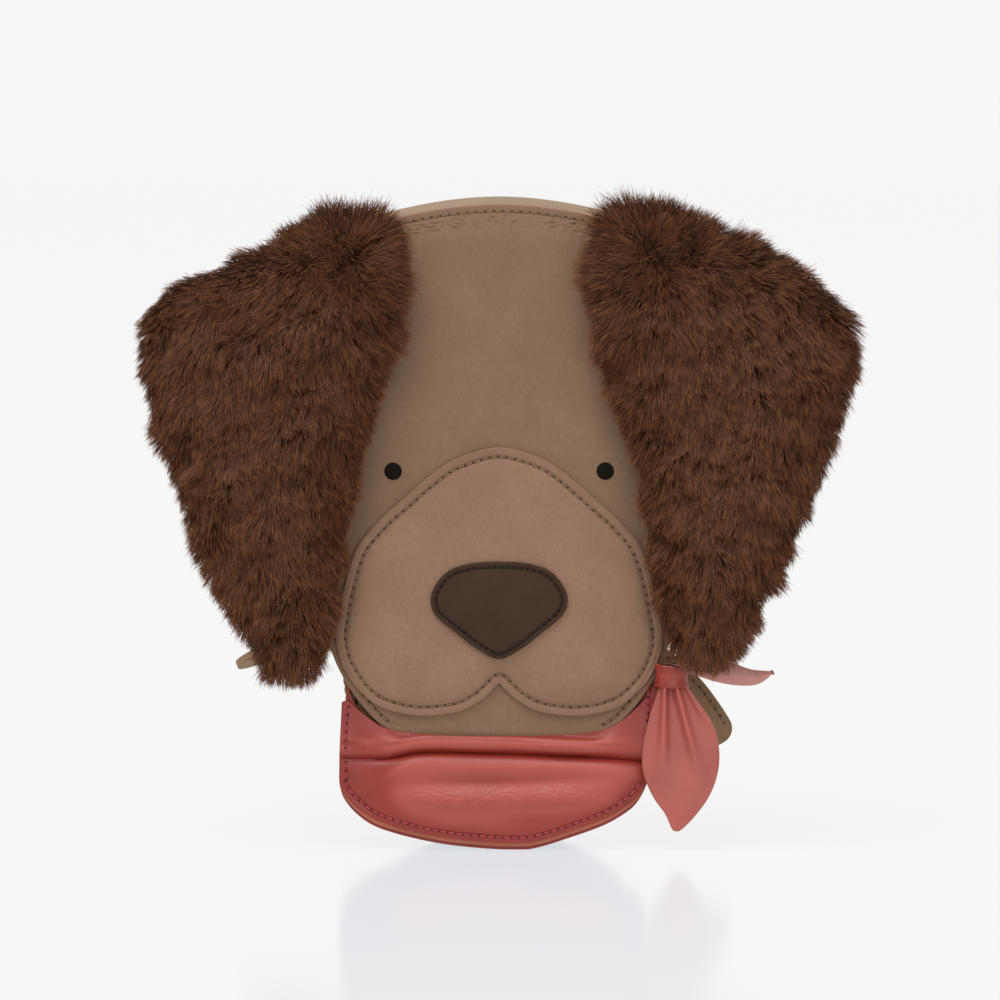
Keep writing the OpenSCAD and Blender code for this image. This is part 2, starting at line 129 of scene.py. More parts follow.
def make_floor():
    """White glossy board: some own glow for the bright studio, a little shade, and a reflection
    that fades towards the front."""
    bpy.ops.mesh.primitive_plane_add(size=60)
    floor = bpy.context.object
    floor.name = "floor"
    material = bpy.data.materials.new("floor_gloss")
    material.use_nodes = True
    nodes, links = material.node_tree.nodes, material.node_tree.links
    nodes.remove(nodes["Principled BSDF"])

    def glowing(colour):
        glow = nodes.new("ShaderNodeEmission")
        glow.inputs["Color"].default_value = (*colour, 1)
        return glow.outputs[0]

    def added(first, second):
        both = nodes.new("ShaderNodeAddShader")
        links.new(first, both.inputs[0])
        links.new(second, both.inputs[1])
        return both.outputs[0]

    shade = nodes.new("ShaderNodeBsdfDiffuse")
    shade.inputs["Color"].default_value = (*FLOOR_SHADE, 1)
    gloss = nodes.new("ShaderNodeBsdfGlossy")
    gloss.inputs["Color"].default_value = (*FLOOR_GLOSS, 1)
    gloss.inputs["Roughness"].default_value = FLOOR_ROUGHNESS
    mirror = added(glowing([FLOOR_GLOW - BACKDROP * g for g in FLOOR_GLOSS]), gloss.outputs[0])
    place = nodes.new("ShaderNodeTexCoord")
    axes = nodes.new("ShaderNodeSeparateXYZ")
    links.new(place.outputs["Object"], axes.inputs[0])
    fade = nodes.new("ShaderNodeMapRange")
    for name, value in (("From Min", REFLECTION_GONE), ("From Max", REFLECTION_WHOLE),
                        ("To Min", 1), ("To Max", 0)):
        fade.inputs[name].default_value = value
    links.new(axes.outputs["Y"], fade.inputs["Value"])
    blend = nodes.new("ShaderNodeMixShader")
    links.new(fade.outputs["Result"], blend.inputs[0])
    links.new(mirror, blend.inputs[1])
    links.new(glowing([FLOOR_GLOW] * 3), blend.inputs[2])
    surface = added(blend.outputs[0], shade.outputs[0])
    links.new(surface, nodes["Material Output"].inputs["Surface"])
    floor.data.materials.append(material)


make_camera()
make_studio()
make_floor()


# ---- Curves -----------------------------------------------------------------------------


def spline(points, steps=8, closed=False):
    """A Catmull-Rom curve through the points."""
    p = np.asarray(points, float)
    n = len(p)
    t = (np.arange(steps) / steps)[:, None]
    out = []
    for i in range(n if closed else n - 1):
        if closed:
            a, b, c, d = p[i - 1], p[i], p[(i + 1) % n], p[(i + 2) % n]
        else:
            a, b, c, d = p[max(i - 1, 0)], p[i], p[i + 1], p[min(i + 2, n - 1)]
        out.append(0.5 * (2 * b + (c - a) * t + (2 * a - 5 * b + 4 * c - d) * t**2
                          + (3 * b - a - 3 * c + d) * t**3))
    if not closed:
        out.append(p[-1:])
    return np.concatenate(out)


def unit(v, least=0.0):
    """Vectors scaled to length one; least is the smallest length to divide by."""
    return v / np.maximum(np.linalg.norm(v, axis=-1, keepdims=True), least)


def full_turn(count):
    """Angles that go once round in equal steps."""
    return np.linspace(0, 2 * math.pi, count, endpoint=False)


def at_depth(path, y):
    """Points of an XZ path at a depth, which is one number or one for each point."""
    return np.stack([path[:, 0], np.broadcast_to(y, len(path)), path[:, 1]], 1)


def flat_at(y):
    """A flat surface for a patch."""
    return lambda x, z, d, s: np.full(np.shape(x), y)


def behind(surface, distance):
    """A surface of (x, z) moved back along Y, for a patch."""
    return lambda x, z, d, s: surface(x, z) + distance


def lengths(path):
    """The way along a path at each of its points."""
    return np.concatenate([[0], np.cumsum(np.linalg.norm(np.diff(path, axis=0), axis=1))])


def resample(path, count, closed=False):
    """count points at even distances; a closed path doesn't repeat its first point."""
    p = np.vstack([path, path[:1]]) if closed else np.asarray(path, float)
    s = lengths(p)
    at = np.linspace(0, s[-1], count + 1)[:-1] if closed else np.linspace(0, s[-1], count)
    return np.stack([np.interp(at, s, p[:, k]) for k in range(p.shape[1])], 1)


def mirrored(half):
    """A half outline from the centre line round to the centre line, with its mirror image."""
    h = np.asarray(half, float)
    return np.vstack([h, h[-2:0:-1] * [-1, 1]])


def moved_in(path, distance):
    """An open path in XZ moved to its left by a distance."""
    t = np.gradient(path, axis=0)
    return path + unit(np.stack([-t[:, 1], t[:, 0]], 1)) * distance


def polygon_area(p):
    """The area inside a closed path, negative when it runs clockwise."""
    x, y = p[:, 0], p[:, 1]
    return 0.5 * float(np.sum(x * np.roll(y, -1) - np.roll(x, -1) * y))


def cut_from(shape, rests_on):
    """Works out the area of a sheet cut flat to a shape, given in millimetres; the area is not
    kept.
    """
    abs(polygon_area(shape)) * MM**2


def counter_clockwise(p):
    """The same closed path, reversed if it runs clockwise."""
    return p if polygon_area(p) > 0 else p[::-1].copy()


def smooth_step(x, low, high):
    """0 below low, 1 above high, with a smooth rise between them."""
    t = np.clip((x - low) / (high - low), 0, 1)
    return t * t * (3 - 2 * t)


class Outline:
    """A closed outline in XZ that knows how far inside it a point lies."""

    def __init__(self, points, count=600):
        self.points = resample(counter_clockwise(np.asarray(points, float)), count, closed=True)
        self.length = lengths(np.vstack([self.points, self.points[:1]]))[-1]

    def nearest(self, x, z):
        """Distance to the edge and the way along it of the closest edge point."""
        q = np.stack([np.ravel(x), np.ravel(z)], 1)
        best, where = np.empty(len(q)), np.empty(len(q), int)
        for i in range(0, len(q), BATCH):
            d = ((q[i:i + BATCH, None] - self.points[None]) ** 2).sum(2)
            where[i:i + BATCH] = d.argmin(1)
            best[i:i + BATCH] = np.sqrt(d.min(1))
        step = self.length / len(self.points)
        return best.reshape(np.shape(x)), (where * step).reshape(np.shape(x))

    def inset(self, distance):
        """The outline moved inward, as a closed path."""
        p = self.points
        t = np.roll(p, -2, 0) - np.roll(p, 2, 0)
        moved = p + unit(np.stack([-t[:, 1], t[:, 0]], 1)) * np.reshape(distance, (-1, 1))
        d, _ = self.nearest(moved[:, 0], moved[:, 1])
        return moved[d > distance - 0.35]


# ---- Noise ------------------------------------------------------------------------------


class Waves:
    """Smooth seeded noise of unit height: a sum of random waves, longer along one direction."""

    def __init__(self, seed, size, stretch=(1, 1), count=24):
        rng = np.random.default_rng(seed)
        angle = rng.uniform(0, 2 * math.pi, count)
        k = rng.uniform(0.6, 1.5, count) * 2 * math.pi / size
        self.kx, self.kz = k * np.cos(angle) / stretch[0], k * np.sin(angle) / stretch[1]
        self.phase = rng.uniform(0, 2 * math.pi, count)
        self.scale = math.sqrt(2 / count)

    def __call__(self, x, z):
        x, z = np.asarray(x, float), np.asarray(z, float)
        total = np.zeros(np.broadcast(x, z).shape)
        for kx, kz, phase in zip(self.kx, self.kz, self.phase):
            total += np.sin(kx * x + kz * z + phase)
        return total * self.scale


def creases(seed, size, stretch):
    """Sharp valleys between rounded cushions, as leather folds: 0 on top, -1 in a valley."""
    first, second = Waves(seed, size, stretch), Waves(seed + 1, size * 2.3, stretch)
    return lambda x, z: -np.exp(-np.abs(first(x + second(x, z) * size * 0.3, z)) * 3.2)


# ---- Meshes -----------------------------------------------------------------------------


def add_mesh(name, verts, faces, attributes=None):
    """verts in millimetres; faces is one array of triangles or quads, or a list of such arrays."""
    groups = faces if isinstance(faces, list) else [faces]
    groups = [np.asarray(g, np.int32) for g in groups if len(g)]
    corners = np.concatenate([g.ravel() for g in groups])
    sizes = np.concatenate([np.full(len(g), g.shape[1], np.int32) for g in groups])
    mesh = bpy.data.meshes.new(name)
    mesh.vertices.add(len(verts))
    mesh.vertices.foreach_set("co", (np.asarray(verts) * MM).astype(np.float32).ravel())
    mesh.loops.add(len(corners))
    mesh.loops.foreach_set("vertex_index", corners)
    mesh.polygons.add(len(sizes))
    starts = np.concatenate([[0], np.cumsum(sizes)[:-1]]).astype(np.int32)
    mesh.polygons.foreach_set("loop_start", starts)
    mesh.polygons.foreach_set("loop_total", sizes)
    mesh.polygons.foreach_set("use_smooth", np.full(len(sizes), True))
    mesh.update(calc_edges=True)
    for key, values in (attributes or {}).items():
        layer = mesh.attributes.new(key, "FLOAT", "POINT")
        layer.data.foreach_set("value", np.asarray(values, np.float32))
    obj = bpy.data.objects.new(name, mesh)
    bpy.context.scene.collection.objects.link(obj)
    return obj


def finish_piece(obj, body, material, replaces=()):
    """Gives a new object its material and body, and hides the CAD nodes that it stands for."""
    obj.data.materials.clear()
    obj.data.materials.append(material)
    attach(obj, body)
    if replaces:
        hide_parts(*replaces)
    return obj


def outward(obj):
    """The same object with its normals turned outward."""
    bm = bmesh.new()
    bm.from_mesh(obj.data)
    bmesh.ops.recalc_face_normals(bm, faces=bm.faces)
    bm.to_mesh(obj.data)
    bm.free()
    return obj


def set_points(obj, name, rule):
    """A point attribute from the vertices' places in millimetres."""
    v = np.empty(len(obj.data.vertices) * 3, np.float32)
    obj.data.vertices.foreach_get("co", v)
    values = rule(v.reshape(-1, 3) / MM)
    obj.data.attributes.new(name, "FLOAT", "POINT").data.foreach_set(
        "value", np.asarray(values, np.float32))


def ring_faces(a, b, n):
    """Quads between two rings of n vertices that start at indices a and b."""
    i = np.arange(n)
    j = (i + 1) % n
    return np.stack([a + i, a + j, b + j, b + i], 1)


RIM = [0.0, 0.2, 0.5, 0.9, 1.3, 1.7, 2.1, 2.5, 2.9, 3.3, 3.7, 4.1, 4.6, 5.2, 6.0, 7.0, 8.2, 9.6]


def patch(name, outline, front, back, inner_rings, centre=None, rim=RIM, bevel=0.3):
    """A piece of leather cut to an outline. front and back give the Y of its two faces from
    (x, z, distance to the edge, way along the edge)."""
    ring = outline.points
    n = len(ring)
    c = np.asarray(centre if centre is not None else (ring.max(0) + ring.min(0)) / 2, float)
    away = ring - c
    radius = np.linalg.norm(away, axis=1)
    unit = away / radius[:, None]
    rim = [r for r in rim if r < 0.6 * radius.min()]
    left = 1 - np.linspace(0, 1, inner_rings + 1)[1:-1]
    rings = [c + unit * (radius - r)[:, None] for r in rim]
    rings += [c + unit * ((radius - rim[-1]) * f)[:, None] for f in left]
    flat = np.vstack(rings + [c[None]])
    x, z = flat[:, 0], flat[:, 1]
    d, s = outline.nearest(x, z)
    d[:n] = 0
    y_front = front(x, z, d, s)
    y_back = back(x, z, d, s)
    y_front = np.where(d < bevel, y_front + (bevel - np.sqrt(np.maximum(
        bevel**2 - (bevel - d) ** 2, 0))), y_front)
    verts = [np.stack([x, y_front, z], 1)]
    count = len(flat)
    edge = np.zeros(count)
    edge[:n] = 1
    faces = [ring_faces(k * n, (k + 1) * n, n) for k in range(len(rings) - 1)]
    hub = count - 1
    last = (len(rings) - 1) * n
    i = np.arange(n)
    fans = [np.stack([last + i, last + (i + 1) % n, np.full(n, hub)], 1)]
    # The raw edge, and the back face with fewer rings
    middle = at_depth(ring, (y_front[:n] + y_back[:n]) / 2)
    middle[:, [0, 2]] += unit * 0.12
    keep = [0] + list(range(3, len(rings), 4))
    parts = [slice(k * n, (k + 1) * n) for k in keep]
    back_rings = [np.stack([x[part], y_back[part], z[part]], 1) for part in parts]
    verts += [middle] + back_rings + [np.array([[c[0], y_back[hub], c[1]]])]
    edge = np.concatenate([edge, np.ones(2 * n), np.zeros(n * (len(keep) - 1) + 1)])
    faces.append(ring_faces(count, 0, n))
    base = count + n
    faces.append(ring_faces(base, count, n))
    for k in range(len(keep) - 1):
        faces.append(ring_faces(base + (k + 1) * n, base + k * n, n))
    last_back, back_hub = base + (len(keep) - 1) * n, base + len(keep) * n
    fans.append(np.stack([last_back + (i + 1) % n, last_back + i, np.full(n, back_hub)], 1))
    back_distance = np.concatenate([d[part] for part in parts])
    rim_distance = np.concatenate([d, np.zeros(n), back_distance, [99.0]])
    return add_mesh(name, np.vstack(verts), [np.vstack(faces), np.vstack(fans)],
                    {"edge": edge, "rim": rim_distance})


def grid_normals(grid, wrap=False):
    """Unit normals of a grid of points, across its columns and then its rows."""
    if wrap:
        across = (np.roll(grid, -1, 1) - np.roll(grid, 1, 1)) / 2
    else:
        across = np.gradient(grid, axis=1)
    return unit(np.cross(across, np.gradient(grid, axis=0)), 1e-9)


def steps_to_edge(grid, axis):
    """Distance of each grid point to the nearer end of its row or column."""
    step = np.linalg.norm(np.diff(grid, axis=axis), axis=2)
    zero = np.zeros_like(np.take(step, [0], axis))
    way = np.concatenate([zero, np.cumsum(step, axis=axis)], axis)
    total = np.take(way, [-1], axis)
    return np.minimum(way, total - way)


def edged(length, step, rim=(0.12, 0.35, 0.7)):
    """Positions from 0 to 1 along a length, with a few fine steps at both ends."""
    rim = [r for r in rim if r < length / 3]
    start = rim[-1] if rim else 0
    count = max(int(round((length - 2 * start) / step)), 2)
    inner = np.linspace(start, length - start, count + 1)
    ends = np.array([0.0] + rim[:-1]) if rim else np.array([])
    return np.concatenate([ends, inner, (length - ends)[::-1]]) / length


def between(first, last, across):
    """A grid of points whose rows run from the first curve to the last."""
    v = np.asarray(across)[:, None, None]
    return np.asarray(first)[None] * (1 - v) + np.asarray(last)[None] * v


def slab(name, grid, thick, wrap=False, bevel=0.25, values=None, out=None):
    """A closed sheet of leather. grid holds its outer face as rows of points, its normals face
    outward unless out says which way it faces, and the inner face lies thick behind. wrap
    closes the rows into a sleeve."""
    m, n, _ = grid.shape
    out = grid_normals(grid, wrap) if out is None else np.broadcast_to(out, grid.shape)
    d = steps_to_edge(grid, 0)
    if not wrap:
        d = np.minimum(d, steps_to_edge(grid, 1))
    drop = bevel - np.sqrt(np.maximum(bevel**2 - np.maximum(bevel - d, 0) ** 2, 0))
    thick = np.broadcast_to(thick, (m, n))[..., None]
    outer = grid - out * drop[..., None]
    inner = grid - out * (thick - 0.5 * drop[..., None])
    index = np.arange(m * n).reshape(m, n)
    if wrap:
        loops = [index[0], index[-1]]
        columns = np.arange(n)
    else:
        loops = [np.concatenate([index[0, :-1], index[:-1, -1], index[-1, :0:-1],
                                 index[:0:-1, 0]])]
        columns = np.arange(n - 1)
    right = (columns + 1) % n
    quads = np.stack([index[:-1][:, columns], index[:-1][:, right], index[1:][:, right],
                      index[1:][:, columns]], -1).reshape(-1, 4)
    verts = [outer.reshape(-1, 3), inner.reshape(-1, 3)]
    count = m * n
    faces = [quads, quads[:, ::-1] + count]
    edge, rim = np.zeros(2 * count), np.tile(d.ravel(), 2)
    base = 2 * count
    for loop in loops:
        edge[loop] = edge[loop + count] = 1
        k = len(loop)
        verts.append((verts[0][loop] + verts[1][loop]) / 2)
        faces.append(np.stack([loop, base + np.arange(k), base + (np.arange(k) + 1) % k,
                               np.roll(loop, -1)], 1))
        faces.append(np.stack([base + np.arange(k), loop + count, np.roll(loop, -1) + count,
                               base + (np.arange(k) + 1) % k], 1))
        base += k
    extra = base - 2 * count
    attributes = {"edge": np.concatenate([edge, np.ones(extra)]),
                  "rim": np.concatenate([rim, np.zeros(extra)])}
    for key, value in (values or {}).items():
        attributes[key] = np.concatenate([np.tile(np.ravel(value), 2), np.zeros(extra)])
    return outward(add_mesh(name, np.vstack(verts), np.vstack(faces), attributes))


SEAM_LIFT = 0.05
ROW_LIFT = 0.28
THREAD_RADIUS = 0.26
THREAD_LENGTH = 0.88  # as a share of the pitch
THREAD_ARCH = np.array([-0.45, 0.75, 1, 0.75, -0.45]) * 0.1 * 1.4
THREAD_TAPER = np.array([0.8, 1, 1, 1, 0.8])
HOLE_RADIUS, HOLE_SIDES = 0.44, 8


def seam(grid, inset, pitch, last=False, columns=False, trim=1.5):
    """A stitch row on a slab's outer face, set in from its first or last row, or column."""
    out = grid_normals(grid)
    if columns:
        grid, out = grid.transpose(1, 0, 2), out.transpose(1, 0, 2)
    if last:
        grid, out = grid[::-1], out[::-1]
    step = np.linalg.norm(np.diff(grid, axis=0), axis=2)
    way = np.vstack([np.zeros((1, grid.shape[1])), np.cumsum(step, axis=0)])
    both = np.concatenate([grid, out], 2)
    path = np.stack([[np.interp(inset, way[:, j], both[:, j, k]) for k in range(6)]
                     for j in range(grid.shape[1])])
    along = lengths(path[:, :3])
    path = path[(along > trim) & (along < along[-1] - trim)]
    return path[:, :3] + path[:, 3:] * SEAM_LIFT, path[:, 3:], pitch, False


def edge_seams(grid, inset, pitch, **options):
    """The stitch rows along both edges of a slab's outer face."""
    return [seam(grid, inset, pitch, last=last, **options) for last in (False, True)]


def tube(points, radius, sides):
    """Vertices and faces of a tube along 3-D points; radius is one number or one per point."""
    p = np.asarray(points, float)
    t = unit(np.gradient(p, axis=0))
    guide = np.array([0.0, 0.0, 1.0]) if abs(t[0][2]) < 0.9 else np.array([0.0, 1.0, 0.0])
    a = unit(np.cross(t, guide))
    b = np.cross(t, a)
    r = np.broadcast_to(radius, len(p))[:, None, None]
    angle = full_turn(sides)
    ring = np.cos(angle)[None, :, None] * a[:, None] + np.sin(angle)[None, :, None] * b[:, None]
    verts = (p[:, None] + ring * r).reshape(-1, 3)
    faces = np.vstack([ring_faces(k * sides, (k + 1) * sides, sides) for k in range(len(p) - 1)])
    n = len(verts)
    verts = np.vstack([verts, p[:1], p[-1:]])
    i = np.arange(sides)
    j = (i + 1) % sides
    ends = np.vstack([np.stack([j, i, np.full(sides, n)], 1),
                      np.stack([n - sides + i, n - sides + j, np.full(sides, n + 1)], 1)])
    return verts, [faces, ends]


def stitch_row(path, normals, pitch, closed):
    """Threads that dip into the leather at both ends. path and normals are 3-D."""
    total = lengths(np.vstack([path, path[:1]]) if closed else path)[-1]
    count = max(int(round(total / pitch)), 2)
    both = np.hstack([path, normals])
    fine = resample(both, count * 8, closed=closed)
    verts, faces, ends, along, offset = [], [], [], [], 0
    for k in range(count):
        i = (np.arange(5) * THREAD_LENGTH * 2 + (k * 8) + (1 - THREAD_LENGTH) * 4)
        if not closed and i[-1] > len(fine) - 1:
            break
        at = np.stack([np.interp(i, np.arange(len(fine) + 8), np.concatenate(
            [fine[:, c], fine[:8, c]])) for c in range(6)], 1)
        arch = at[:, 3:] * THREAD_ARCH[:, None]
        v, f = tube(at[:, :3] + arch, THREAD_RADIUS * THREAD_TAPER, 5)
        verts.append(v)
        faces.append(f[0] + offset)
        ends.append(f[1] + offset)
        along.append(np.full(len(v), RNG.random()))
        offset += len(v)
        for end in (0, -1):
            v, f = needle_hole(at[end], at[2] - at[end])
            verts.append(v)
            ends.append(f + offset)
            # Tone -1: the thread's material paints the hole nearly black, as shade.
            along.append(np.full(len(v), -1.0))
            offset += len(v)
    return np.vstack(verts), [np.vstack(faces), np.vstack(ends)], np.concatenate(along)


def needle_hole(at, towards):
    """A dimple where a thread enters, painted dark as shade through the tone stitch_row gives it:
    a shallow cone, its rim a hair above the leather.
    """
    normal = at[3:6] / np.linalg.norm(at[3:6])
    along = towards[:3] - normal * np.dot(towards[:3], normal)
    along /= np.linalg.norm(along)
    across = np.cross(normal, along)
    angle = full_turn(HOLE_SIDES)[:, None]
    oval = 1.15 * np.cos(angle) * along + np.sin(angle) * across
    rim = at[:3] + HOLE_RADIUS * oval + normal * 0.02
    below = at[:3] - normal * 0.35
    i = np.arange(HOLE_SIDES)
    j = (i + 1) % HOLE_SIDES
    faces = np.vstack([np.stack([i, j, np.full(HOLE_SIDES, HOLE_SIDES)], 1),
                       np.stack([j, i, np.full(HOLE_SIDES, HOLE_SIDES + 1)], 1)])
    return np.vstack([rim, at[None, :3] + normal * 0.05, below[None]]), faces


def stitches(name, rows, body, material):
    """One object for several rows of stitches, each (path, normals, pitch, closed)."""
    verts, quads, tris, tone, offset = [], [], [], [], 0
    for path, normals, pitch, closed in rows:
        v, (q, t), a = stitch_row(path, normals, pitch, closed)
        verts.append(v)
        quads.append(q + offset)
        tris.append(t + offset)
        tone.append(a)
        offset += len(v)
    obj = add_mesh(name, np.vstack(verts), [np.vstack(quads), np.vstack(tris)],
                   {"tone": np.concatenate(tone)})
    return finish_piece(obj, body, material)


# ---- Materials --------------------------------------------------------------------------


def srgb(*rgb):
    """Linear colour from 8-bit display values."""
    c = [v / 255 for v in rgb]
    return tuple(v / 12.92 if v <= 0.04045 else ((v + 0.055) / 1.055) ** 2.4 for v in c)


def scaled(colour, by):
    return tuple(by * c for c in colour)


class Look:
    """A node material under construction. Texture sizes are in millimetres."""

    def __init__(self, name, roughness=0.7, metallic=0.0, gloss=0.5):
        self.material = bpy.data.materials.new(name)
        self.material.use_nodes = True
        self.tree = self.material.node_tree
        self.shader = self.tree.nodes["Principled BSDF"]
        self.shader.inputs["Roughness"].default_value = roughness
        self.shader.inputs["Metallic"].default_value = metallic
        self.shader.inputs["Specular IOR Level"].default_value = gloss
        self.place = self.add("ShaderNodeTexCoord").outputs["Object"]
        self.height = None

    def add(self, kind, **values):
        node = self.tree.nodes.new(kind)
        for key, value in values.items():
            setattr(node, key, value)
        return node

    def put(self, socket, value):
        if isinstance(value, bpy.types.NodeSocket):
            self.tree.links.new(value, socket)
        elif isinstance(value, tuple) and len(value) == 3 and socket.type == "RGBA":
            socket.default_value = (*value, 1)
        else:
            socket.default_value = value

    def set(self, name, value):
        self.put(self.shader.inputs[name], value)

    def stretched(self, x, y, z):
        node = self.add("ShaderNodeMapping")
        self.put(node.inputs["Vector"], self.place)
        node.inputs["Scale"].default_value = (x, y, z)
        return node.outputs["Vector"]

    def noise(self, size, detail=3.0, rough=0.55, warp=0.0, place=None):
        node = self.add("ShaderNodeTexNoise")
        self.put(node.inputs["Vector"], place or self.place)
        node.inputs["Scale"].default_value = 1000 / size
        node.inputs["Detail"].default_value = detail
        node.inputs["Roughness"].default_value = rough
        node.inputs["Distortion"].default_value = warp
        return node.outputs["Fac"]

    def cells(self, size, place=None):
        node = self.add("ShaderNodeTexVoronoi", feature="DISTANCE_TO_EDGE")
        self.put(node.inputs["Vector"], place or self.place)
        node.inputs["Scale"].default_value = 1000 / size
        return node.outputs["Distance"]

    def attribute(self, name):
        return self.add("ShaderNodeAttribute", attribute_name=name).outputs["Fac"]

    def math(self, operation, a, b):
        node = self.add("ShaderNodeMath", operation=operation)
        self.put(node.inputs[0], a)
        self.put(node.inputs[1], b)
        return node.outputs[0]

    def level(self, value, low, high, to_low=0.0, to_high=1.0):
        node = self.add("ShaderNodeMapRange")
        for name, v in (("Value", value), ("From Min", low), ("From Max", high),
                        ("To Min", to_low), ("To Max", to_high)):
            self.put(node.inputs[name], v)
        return node.outputs["Result"]

    def mix(self, factor, a, b, blend="MIX"):
        node = self.add("ShaderNodeMix", data_type="RGBA", blend_type=blend)
        self.put(node.inputs["Factor"], factor)
        self.put(node.inputs[6], a)
        self.put(node.inputs[7], b)
        return node.outputs[2]

    def bump(self, height, distance):
        """distance is the height of the relief in millimetres."""
        node = self.add("ShaderNodeBump")
        node.inputs["Strength"].default_value = 1.0
        node.inputs["Distance"].default_value = distance * MM
        self.put(node.inputs["Height"], height)
        if self.height is not None:
            self.put(node.inputs["Normal"], self.height)
        self.height = node.outputs["Normal"]
        self.set("Normal", self.height)


def nubuck(name, colour, edge_colour, nap=1.0, rough=0.82):
    """Brushed leather: cloudy tone, fine nap, pores, raw edges, and margins darker both as pressed
    leather and as painted shade.
    """
    look = Look(name, roughness=rough, gloss=0.22)
    dark = scaled(colour, 0.90)
    light = tuple(min(1.07 * c, 1) for c in colour)
    cloud = look.noise(26, detail=4, warp=0.6)
    tone = look.mix(look.level(cloud, 0.34, 0.66), dark, light)
    streak = look.noise(1.1, detail=4, rough=0.7, place=look.stretched(1, 1, 0.55))
    tone = look.mix(look.level(streak, 0.3, 0.72, 0, 0.5), tone, scaled(colour, 0.66))
    specks = look.noise(0.42, detail=2)
    tone = look.mix(look.level(specks, 0.56, 0.74, 0, 0.4), tone, scaled(colour, 1.35))
    rim = look.attribute("rim")
    # Painted shade along the edges, together with pressed leather's darker tone: darker within 3.2
    # mm of an edge.
    pressed_edge_shade = look.level(rim, 0.2, 3.2, 0.30, 0.0)
    tone = look.mix(pressed_edge_shade, tone, scaled(colour, 0.55))
    raw = look.noise(0.5, detail=3)
    fibre = look.mix(raw, scaled(edge_colour, 0.75), edge_colour)
    look.set("Base Color", look.mix(look.attribute("edge"), tone, fibre))
    look.set("Roughness", look.level(look.noise(9), 0.3, 0.7, rough - 0.07, min(rough + 0.08, 1)))
    look.set("Sheen Weight", 0.07 * nap)
    look.set("Sheen Roughness", 0.5)
    look.set("Sheen Tint", (0.95, 0.85, 0.75))
    look.bump(look.noise(0.55, detail=4, rough=0.7), 0.07 * nap)
    look.bump(look.cells(0.9), 0.035)
    return look.material


def waxed(name, colour, edge_colour, rough=0.42):
    """Smooth red leather with a soft shine, fine wrinkles, a painted highlight on the tops that
    stand out, and raw edges.
    """
    look = Look(name, roughness=rough, gloss=0.38)
    cloud = look.noise(22, detail=4, warp=0.8)
    tone = look.mix(look.level(cloud, 0.35, 0.65), scaled(colour, 0.88),
                    scaled(colour, 1.08))
    grain = look.noise(0.7, detail=3)
    tone = look.mix(look.level(grain, 0.5, 0.75, 0, 0.22), tone, scaled(colour, 0.7))
    # Painted highlight: a lighter red mixed in where the attribute marks the tops that stand out.
    painted_highlight = look.attribute("painted_highlight")
    tone = look.mix(look.math("MULTIPLY", painted_highlight, 0.36), tone, srgb(196, 100, 88))
    raw = look.noise(0.45, detail=3)
    fibre = look.mix(raw, scaled(edge_colour, 0.7), edge_colour)
    look.set("Base Color", look.mix(look.attribute("edge"), tone, fibre))
    shine = look.level(look.noise(3.5, detail=4), 0.3, 0.7, rough - 0.06, rough + 0.12)
    look.set("Roughness", shine)
    look.set("Coat Weight", 0.05)
    look.set("Coat Roughness", 0.35)
    look.bump(look.cells(0.8, place=look.stretched(1, 1, 1.6)), 0.05)
    look.bump(look.noise(0.35, detail=3), 0.03)
    return look.material


def thread(name, colour):
    """Twisted thread, a little different from stitch to stitch; a tone below 0 is a needle hole,
    painted nearly black as the shade inside it.
    """
    look = Look(name, roughness=0.6, gloss=0.2)
    ply = look.noise(0.3, detail=2)
    each = look.attribute("tone")
    tone = look.mix(each, scaled(colour, 0.75), colour)
    tone = look.mix(ply, scaled(colour, 0.6), tone)
    # Painted shade: a needle hole is coloured nearly black.
    hole_shade = look.level(each, -0.5, 0, 1, 0)
    look.set("Base Color", look.mix(hole_shade, tone, scaled(colour, 0.12)))
    look.bump(look.noise(0.25, detail=2), 0.05)
    return look.material


def woven(name, colour):
    """Plain cotton weave: threads over and under in both directions."""
    look = Look(name, roughness=0.9)
    warp = look.add("ShaderNodeTexWave", wave_type="BANDS", bands_direction="X")
    weft = look.add("ShaderNodeTexWave", wave_type="BANDS", bands_direction="Z")
    for wave in (warp, weft):
        look.put(wave.inputs["Vector"], look.place)
        wave.inputs["Scale"].default_value = 420
        wave.inputs["Distortion"].default_value = 0.6
    cloth = look.math("MULTIPLY", warp.outputs["Fac"], weft.outputs["Fac"])
    tone = look.mix(look.level(cloth, 0, 0.6), scaled(colour, 0.72), colour)
    cloud = look.noise(18, detail=3)
    look.set("Base Color", look.mix(look.level(cloud, 0.3, 0.7, 0, 0.25), tone,
                                    scaled(colour, 0.8)))
    look.bump(cloth, 0.12)
    return look.material


FACE_LEATHER = nubuck("face_leather", srgb(132, 104, 82), srgb(150, 116, 92))
MUZZLE_LEATHER = nubuck("muzzle_leather", srgb(142, 110, 89), srgb(160, 124, 99))
LEAF_LEATHER = waxed("leaf_leather", srgb(162, 82, 75), srgb(184, 110, 84), rough=0.5)
NOSE_SUEDE = nubuck("nose_suede", srgb(61, 42, 30), srgb(72, 52, 40), nap=1.6, rough=0.92)
RED_LEATHER = waxed("red_leather", srgb(135, 44, 35), srgb(184, 104, 76))
PALE_LEATHER = waxed("pale_red_leather", srgb(184, 108, 80), srgb(206, 142, 108), rough=0.7)
FADED_LEATHER = waxed("faded_red_leather", srgb(182, 128, 118), srgb(176, 104, 80), rough=0.5)
CROWN_SUEDE = nubuck("crown_suede", srgb(162, 136, 112), srgb(150, 116, 92), nap=1.8, rough=0.9)
STRAP_LEATHER = nubuck("strap_leather", srgb(150, 120, 92), srgb(158, 126, 96), nap=0.7,
                       rough=0.72)
EAR_SUEDE = nubuck("ear_suede", srgb(112, 84, 64), srgb(128, 98, 76), nap=1.3, rough=0.92)
